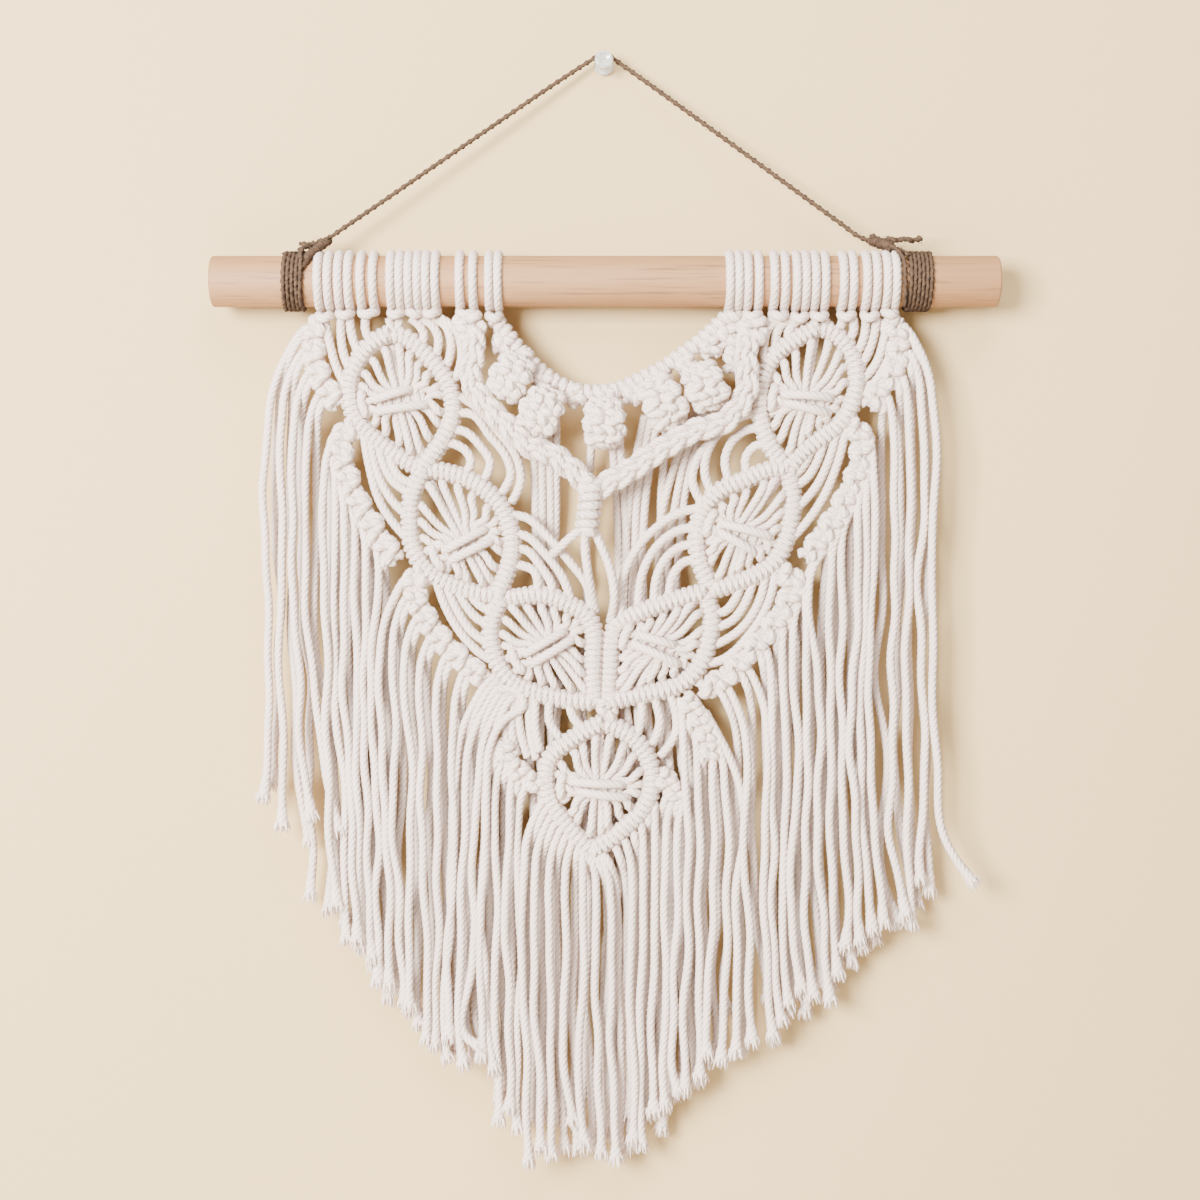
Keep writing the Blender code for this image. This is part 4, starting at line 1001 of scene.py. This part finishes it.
def jute_finish(colour):
    finish = Finish("jute_twine", 0.9)
    fibres = finish.noise(420.0, 6.0, 0.7)
    finish.give(finish.shader, "Base Color", finish.graded(fibres, (
        (0.32, shade(colour, 0.55)), (0.5, shade(colour, 1.0)), (0.68, shade(colour, 1.55)))))
    finish.raise_by(fibres, 0.8, 0.0005)
    return finish.material


def pine_finish(colour):
    """Sanded softwood: fine grain along the dowel, with wide bands that are a little redder."""
    finish = Finish("pine", 0.62)
    grain = finish.noise(1.6, 7.0, 0.62, stretch=(14.0, 420.0, 420.0))
    fine = finish.graded(grain, (
        (0.36, shade(colour, 0.62)), (0.46, shade(colour, 1.0)), (0.7, shade(colour, 1.08))))
    bands = finish.noise(1.0, 2.0, stretch=(3.0, 34.0, 34.0))
    streaks = finish.ranged(bands, (0.52, 0.68), (0.0, 0.55))
    finish.give(finish.shader, "Base Color",
                finish.mixed(streaks, fine, shade(colour, 0.96, 0.84, 0.76)))
    finish.raise_by(grain, 0.25, 0.0003)
    return finish.material


def clear_plastic_finish(colour):
    finish = Finish("clear_plastic", 0.08)
    finish.give(finish.shader, "Base Color", shade(colour, 1.0))
    finish.give(finish.shader, "IOR", 1.49)
    finish.give(finish.shader, "Transmission Weight", 0.75)
    scuffs = finish.noise(300.0, 3.0)
    finish.give(finish.shader, "Roughness", finish.ranged(scuffs, (0.0, 1.0), (0.05, 0.16)))
    return finish.material


def wall_finish(colour):
    """Matt paint; its back lets the view through, so the hanging can be looked at from behind."""
    finish = Finish("wall_paint", 0.85)
    roller = finish.noise(260.0, 3.0)
    finish.give(finish.shader, "Base Color", finish.graded(roller, (
        (0.3, shade(colour, 0.985)), (0.7, shade(colour, 1.0)))))
    finish.raise_by(roller, 0.08, 0.0004)
    clear = finish.add("ShaderNodeBsdfTransparent")[0]
    from_behind = finish.add("ShaderNodeNewGeometry")["Backfacing"]
    finish.give(finish.nodes["Material Output"], "Surface", finish.add(
        "ShaderNodeMixShader", {0: from_behind, 1: finish.shader.outputs[0], 2: clear})[0])
    return finish.material


def floor_finish(colour):
    finish = Finish("pale_floor", 0.8)
    finish.give(finish.shader, "Base Color", shade(colour, 1.0))
    return finish.material


FINISHES = {"cotton": cotton_finish, "jute": jute_finish, "pine": pine_finish,
            "clear_plastic": clear_plastic_finish, "wall": wall_finish, "floor": floor_finish}


def finish_named(name):
    """The one material of that name, made when it is first asked for."""
    for material in bpy.data.materials:
        if material.get("hanging_finish") == name:
            return material
    material = FINISHES[name](tuple(getattr(bpy.context.scene.hanging_colours, name)))
    material["hanging_finish"] = name
    return material


# ---- operators -----------------------------------------------------------------------------------
class HANGING_OT_sections(bpy.types.Operator):
    """Draw the outlines of the twisted cords"""
    bl_idname = "hanging.sections"
    bl_label = "Cord Sections"

    def execute(self, context):
        for section in SECTIONS:
            ply_section(*section)
        return {"FINISHED"}


class HANGING_OT_dowel(bpy.types.Operator):
    """Turn the dowel with its eased ends"""
    bl_idname = "hanging.dowel"
    bl_label = "Dowel"

    def execute(self, context):
        start = (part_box("dowel")[0].x, HANG_Y * MM, DOWEL_Z * MM)
        bm = bmesh.new()
        bmesh.ops.create_circle(bm, cap_ends=True, segments=DOWEL_SIDES, radius=DOWEL_RADIUS * MM)
        bmesh.ops.rotate(bm, verts=bm.verts, matrix=Matrix.Rotation(math.radians(90), 3, "Y"))
        bmesh.ops.translate(bm, verts=bm.verts, vec=start)
        face = bm.faces[:][0]
        made = bmesh.ops.extrude_face_region(bm, geom=[face] + face.edges[:], use_keep_orig=True)
        moved = [part for part in made["geom"] if isinstance(part, bmesh.types.BMVert)]
        length = context.scene.hanging_sizes.dowel_length
        bmesh.ops.translate(bm, verts=moved, vec=(length, 0, 0))
        rims = [edge for edge in bm.edges
                if abs(edge.verts[0].co.x - edge.verts[1].co.x) < MERGED]
        bmesh.ops.bevel(bm, geom=rims, offset=EASED_EDGE * MM, offset_type="OFFSET", segments=3,
                        profile=0.5, affect="EDGES", material=-1)
        piece = placed_piece("dowel_rod", bm, "pine", "dowel")
        piece.data.set_sharp_from_angle(angle=SHARP_EDGE)
        return {"FINISHED"}


class HANGING_OT_push_pin(bpy.types.Operator):
    """Turn the clear push pin"""
    bl_idname = "hanging.push_pin"
    bl_label = "Push Pin"

    def execute(self, context):
        bm = bmesh.new()
        rim = [bm.verts.new((radius * MM, furrow_shade * MM, 0)) for radius, furrow_shade in PIN_PROFILE]
        for a, b in zip(rim, rim[1:]):
            bm.edges.new((a, b))
        bmesh.ops.spin(bm, geom=bm.verts[:] + bm.edges[:], cent=(0, 0, 0), axis=(0, 1, 0),
                       angle=math.tau, steps=PIN_SIDES, use_merge=True)
        bmesh.ops.remove_doubles(bm, verts=bm.verts, dist=MERGED)
        placed_piece("pin", bm, "clear_plastic", "push_pin")
        return {"FINISHED"}


class HANGING_OT_twine(bpy.types.Operator):
    """Twist the jute hanger and wind its bindings"""
    bl_idname = "hanging.twine"
    bl_label = "Twine"

    def execute(self, context):
        dice = random.Random(11)
        self.wound("hanger", "hanger_twine", [route(TWINE_ROUTE, TWINE_STEP)], HANGER_HAIRS, dice)
        for row in BINDINGS:
            lines = [self.binding(row)] + [self.strand(places) for places in row.strands]
            for places, radius, pitch, starts in row.coils:
                lines += [coiled(self.strand(places), radius, pitch, start) for start in starts]
            self.wound(row.name, row.node, lines, BINDING_HAIRS, dice)
        return {"FINISHED"}

    def binding(self, row):
        """The helix of a binding round the dowel."""
        over = DOWEL_RADIUS + JUTE.radius * 0.8
        count = row.turns * BINDING_STEPS
        return [(row.first + (row.last - row.first) * k / count,
                 HANG_Y + over * math.sin(math.tau * k / BINDING_STEPS),
                 DOWEL_Z + over * math.cos(math.tau * k / BINDING_STEPS))
                for k in range(count + 1)]

    def strand(self, places):
        """A line through places whose depths are counted from the dowel's axis."""
        return route([(x, HANG_Y + y, z) for x, y, z in places], TWINE_STEP)

    def wound(self, name, node, lines, hairs, dice):
        """Makes a piece of twine along the lines, with fine hairs that stand off it."""
        twine, fluff = Skein("jute_section"), Skein("fibre_section")
        for line in lines:
            twine.lay(evened(line, 1.0), JUTE)
            for i in range(hairs // len(lines)):
                self.stray_hair(fluff, line, dice)
        bm = bmesh.new()
        twine.into(bm)
        fluff.into(bm)
        bmesh.ops.remove_doubles(bm, verts=bm.verts, dist=MERGED)
        placed_piece(name, bm, "jute", node)

    def stray_hair(self, fluff, line, dice):
        """A hair that leaves the twine; near the wall it leans away from it."""
        k = dice.randrange(2, len(line) - 2)
        start = Vector(line[k])
        along = (Vector(line[k + 1]) - Vector(line[k - 1])).normalized()
        lean = Vector([dice.gauss(0, 1) for axis in range(3)]).normalized()
        if start.y > NEAR_WALL:
            lean.y = -abs(lean.y)
        reach = HAIR_LENGTH * dice.uniform(0.3, 1.0)
        middle = start + along * reach * 0.5 * dice.choice((-1, 1)) + lean * reach * 0.35
        end = middle + along * reach * 0.3 * dice.choice((-1, 1)) + lean * reach * 0.5
        fluff.lay([start, start.lerp(middle, 0.5), middle, end], JUTE_HAIR, widths=HAIR_WIDTHS)


class HANGING_OT_nets(bpy.types.Operator):
    """Knot the leaves on both sides, with the lark's heads that carry them"""
    bl_idname = "hanging.nets"
    bl_label = "Nets"

    def execute(self, context):
        for node, name in (("net_left", "leaves_left"), ("net_right", "leaves_right")):
            knotting = Knotting(name)
            larks_heads(knotting, node)
            leaves(knotting, node)
            for places in TIES[node]:
                depths = [HANG_Y - 1.0] + [HANG_Y - 0.5] * (len(places) - 2) + [HANG_Y]
                knotting.lay(route(spots(places, depths)), turned=places[0][0])
            knotting.finished(node)
        return {"FINISHED"}


class HANGING_OT_yoke(bpy.types.Operator):
    """Plait the yoke and bind its bundle"""
    bl_idname = "hanging.yoke"
    bl_label = "Plaited Yoke"

    def execute(self, context):
        knotting = Knotting("yoke")
        larks_heads(knotting, "braid_yoke")
        for places in PLAITS:
            plait(knotting, places)
        for places in YOKE_KNOTS:
            square_knots(knotting, route(spots(places, (HANG_Y - 3, HANG_Y - 6))), 1, width=1.3)
        core = route(spots(BUNDLE, FRONT_Y))
        knotting.lay(core, BUNDLE_CORE)
        knotting.lay(coiled(core, BUNDLE_HITCHED, BUNDLE_PITCH))
        for places in YOKE_TAILS:
            depths = [FRONT_Y + 1.0] * (len(places) - 1) + [HANG_Y + 2.0]
            knotting.lay(route(spots(places, depths)))
        knotting.finished("braid_yoke")
        return {"FINISHED"}


class HANGING_OT_collar(bpy.types.Operator):
    """Hitch the collar, roll its knots and hang the cords behind"""
    bl_idname = "hanging.collar"
    bl_label = "Collar"

    def execute(self, context):
        dice = random.Random(5)
        knotting = Knotting("collar_knots")
        larks_heads(knotting, "collar")
        core = route(spots(COLLAR))
        knotting.lay(core, COLLAR_CORE)
        knotting.lay(coiled(core, COLLAR_HITCHED, COLLAR_PITCH), COLLAR_HITCH)
        for places in FILLERS:
            square_knots(knotting, route(spots(places)), 1, width=0.9)
        for row in BERRIES:
            berry(knotting, row)
        for start, middle, tip in BACKS:
            half_way = ((middle[0] + tip[0]) / 2, (middle[1] + tip[1]) / 2)
            layer = BACK_Y - dice.uniform(0.4, 2.4)
            hang(knotting, [start, middle, half_way, tip], [HANG_Y + 2] + [layer] * 3, dice)
        knotting.finished("collar")
        return {"FINISHED"}


class HANGING_OT_pendant(bpy.types.Operator):
    """Knot the bottom leaf and hang its cords"""
    bl_idname = "hanging.pendant"
    bl_label = "Pendant"

    def execute(self, context):
        dice = random.Random(23)
        knotting = Knotting("pendant_leaf")
        leaves(knotting, "pendant")
        for row in CHAINS:
            square_knots(knotting, route(spots(row.line)), row.knots, width=0.86)
        for places in TIES["pendant"]:
            knotting.lay(route(spots(places, HANG_Y + 1.0)))
        for row in FRINGES:
            if row.node == "pendant":
                fringe_cords(knotting, row, dice, knotted=False)
        hang(knotting, DOUBLED_BACK, [HANG_Y - 2.0] * 5 + [HANG_Y - 4.0] * 6, dice)
        knotting.finished("pendant")
        return {"FINISHED"}


class HANGING_OT_fringe(bpy.types.Operator):
    """Knot the outer chains and hang the fringe from them"""
    bl_idname = "hanging.fringe"
    bl_label = "Fringe"

    def execute(self, context):
        dice = random.Random(7)
        for row in FRINGES:
            if row.node == "pendant":
                continue
            knotting = Knotting(row.node.replace("fringe", "cords"))
            square_knots(knotting, route(spots(row.roots)), len(row.tips) // 2, width=0.94,
                         mirrored=row.side < 0)
            fringe_cords(knotting, row, dice, knotted=True)
            knotting.finished(row.node)
        return {"FINISHED"}


class HANGING_OT_stage(bpy.types.Operator):
    """Set up the wall, the floor, the lights and the camera"""
    bl_idname = "hanging.stage"
    bl_label = "Stage"

    def execute(self, context):
        wall = self.plane("wall", WALL_PLACE, UPRIGHT)
        floor = self.plane("floor", FLOOR_PLACE, FLAT)
        for light in LIGHTS:
            self.light(*light)
        world = bpy.data.worlds.new("room")
        world.use_nodes = True
        room = world.node_tree.nodes["Background"].inputs
        room["Color"].default_value = ROOM_COLOUR
        room["Strength"].default_value = ROOM_LIGHT
        context.scene.world = world
        eye = bpy.data.cameras.new("eye")
        eye.lens, eye.sensor_width = LENS, SENSOR
        camera = bpy.data.objects.new("eye", eye)
        camera.location, camera.rotation_euler = CAMERA_PLACE, UPRIGHT
        context.scene.collection.objects.link(camera)
        context.scene.camera = camera
        return {"FINISHED"}

    def plane(self, name, place, turn):
        """A square sheet of the stage."""
        bm = bmesh.new()
        bmesh.ops.create_grid(bm, x_segments=1, y_segments=1, size=STAGE_SIZE / 2)
        mesh = bpy.data.meshes.new(name)
        bm.to_mesh(mesh)
        bm.free()
        mesh.materials.append(finish_named(name))
        made = bpy.data.objects.new(name, mesh)
        made.location, made.rotation_euler = place, turn
        bpy.context.scene.collection.objects.link(made)
        return made

    def light(self, name, place, target, size, power):
        """A square lamp that shines at its target."""
        lamp = bpy.data.lights.new(name, "AREA")
        lamp.size, lamp.energy = size, power
        made = bpy.data.objects.new(name, lamp)
        made.location = place
        aim = Vector(target) - Vector(place)
        made.rotation_euler = aim.to_track_quat("-Z", "Y").to_euler()
        bpy.context.scene.collection.objects.link(made)


class HANGING_PT_sidebar(bpy.types.Panel):
    """Sizes, colours and pieces of the hanging"""
    bl_idname = "HANGING_PT_sidebar"
    bl_label = "Wall Hanging"
    bl_space_type = "VIEW_3D"
    bl_region_type = "UI"
    bl_category = "Hanging"

    def draw(self, context):
        for group in (context.scene.hanging_sizes, context.scene.hanging_colours):
            for name in group.__annotations__:
                self.layout.prop(group, name)
        for operator in OPERATORS:
            self.layout.operator(operator.bl_idname)


OPERATORS = (HANGING_OT_sections, HANGING_OT_dowel, HANGING_OT_push_pin, HANGING_OT_twine,
             HANGING_OT_nets, HANGING_OT_yoke, HANGING_OT_collar, HANGING_OT_pendant,
             HANGING_OT_fringe, HANGING_OT_stage)
CLASSES = (HangingSizes, HangingColours) + OPERATORS + (HANGING_PT_sidebar,)


def register():
    for each in CLASSES:
        bpy.utils.register_class(each)
    bpy.types.Scene.hanging_sizes = PointerProperty(type=HangingSizes)
    bpy.types.Scene.hanging_colours = PointerProperty(type=HangingColours)


def unregister():
    del bpy.types.Scene.hanging_colours
    del bpy.types.Scene.hanging_sizes
    for each in reversed(CLASSES):
        bpy.utils.unregister_class(each)


def main():
    register()
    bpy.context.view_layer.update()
    bpy.ops.hanging.sections()
    bpy.ops.hanging.dowel()
    bpy.ops.hanging.push_pin()
    bpy.ops.hanging.twine()
    bpy.ops.hanging.nets()
    bpy.ops.hanging.yoke()
    bpy.ops.hanging.collar()
    bpy.ops.hanging.pendant()
    bpy.ops.hanging.fringe()
    bpy.ops.hanging.stage()


if __name__ == "__main__":
    main()
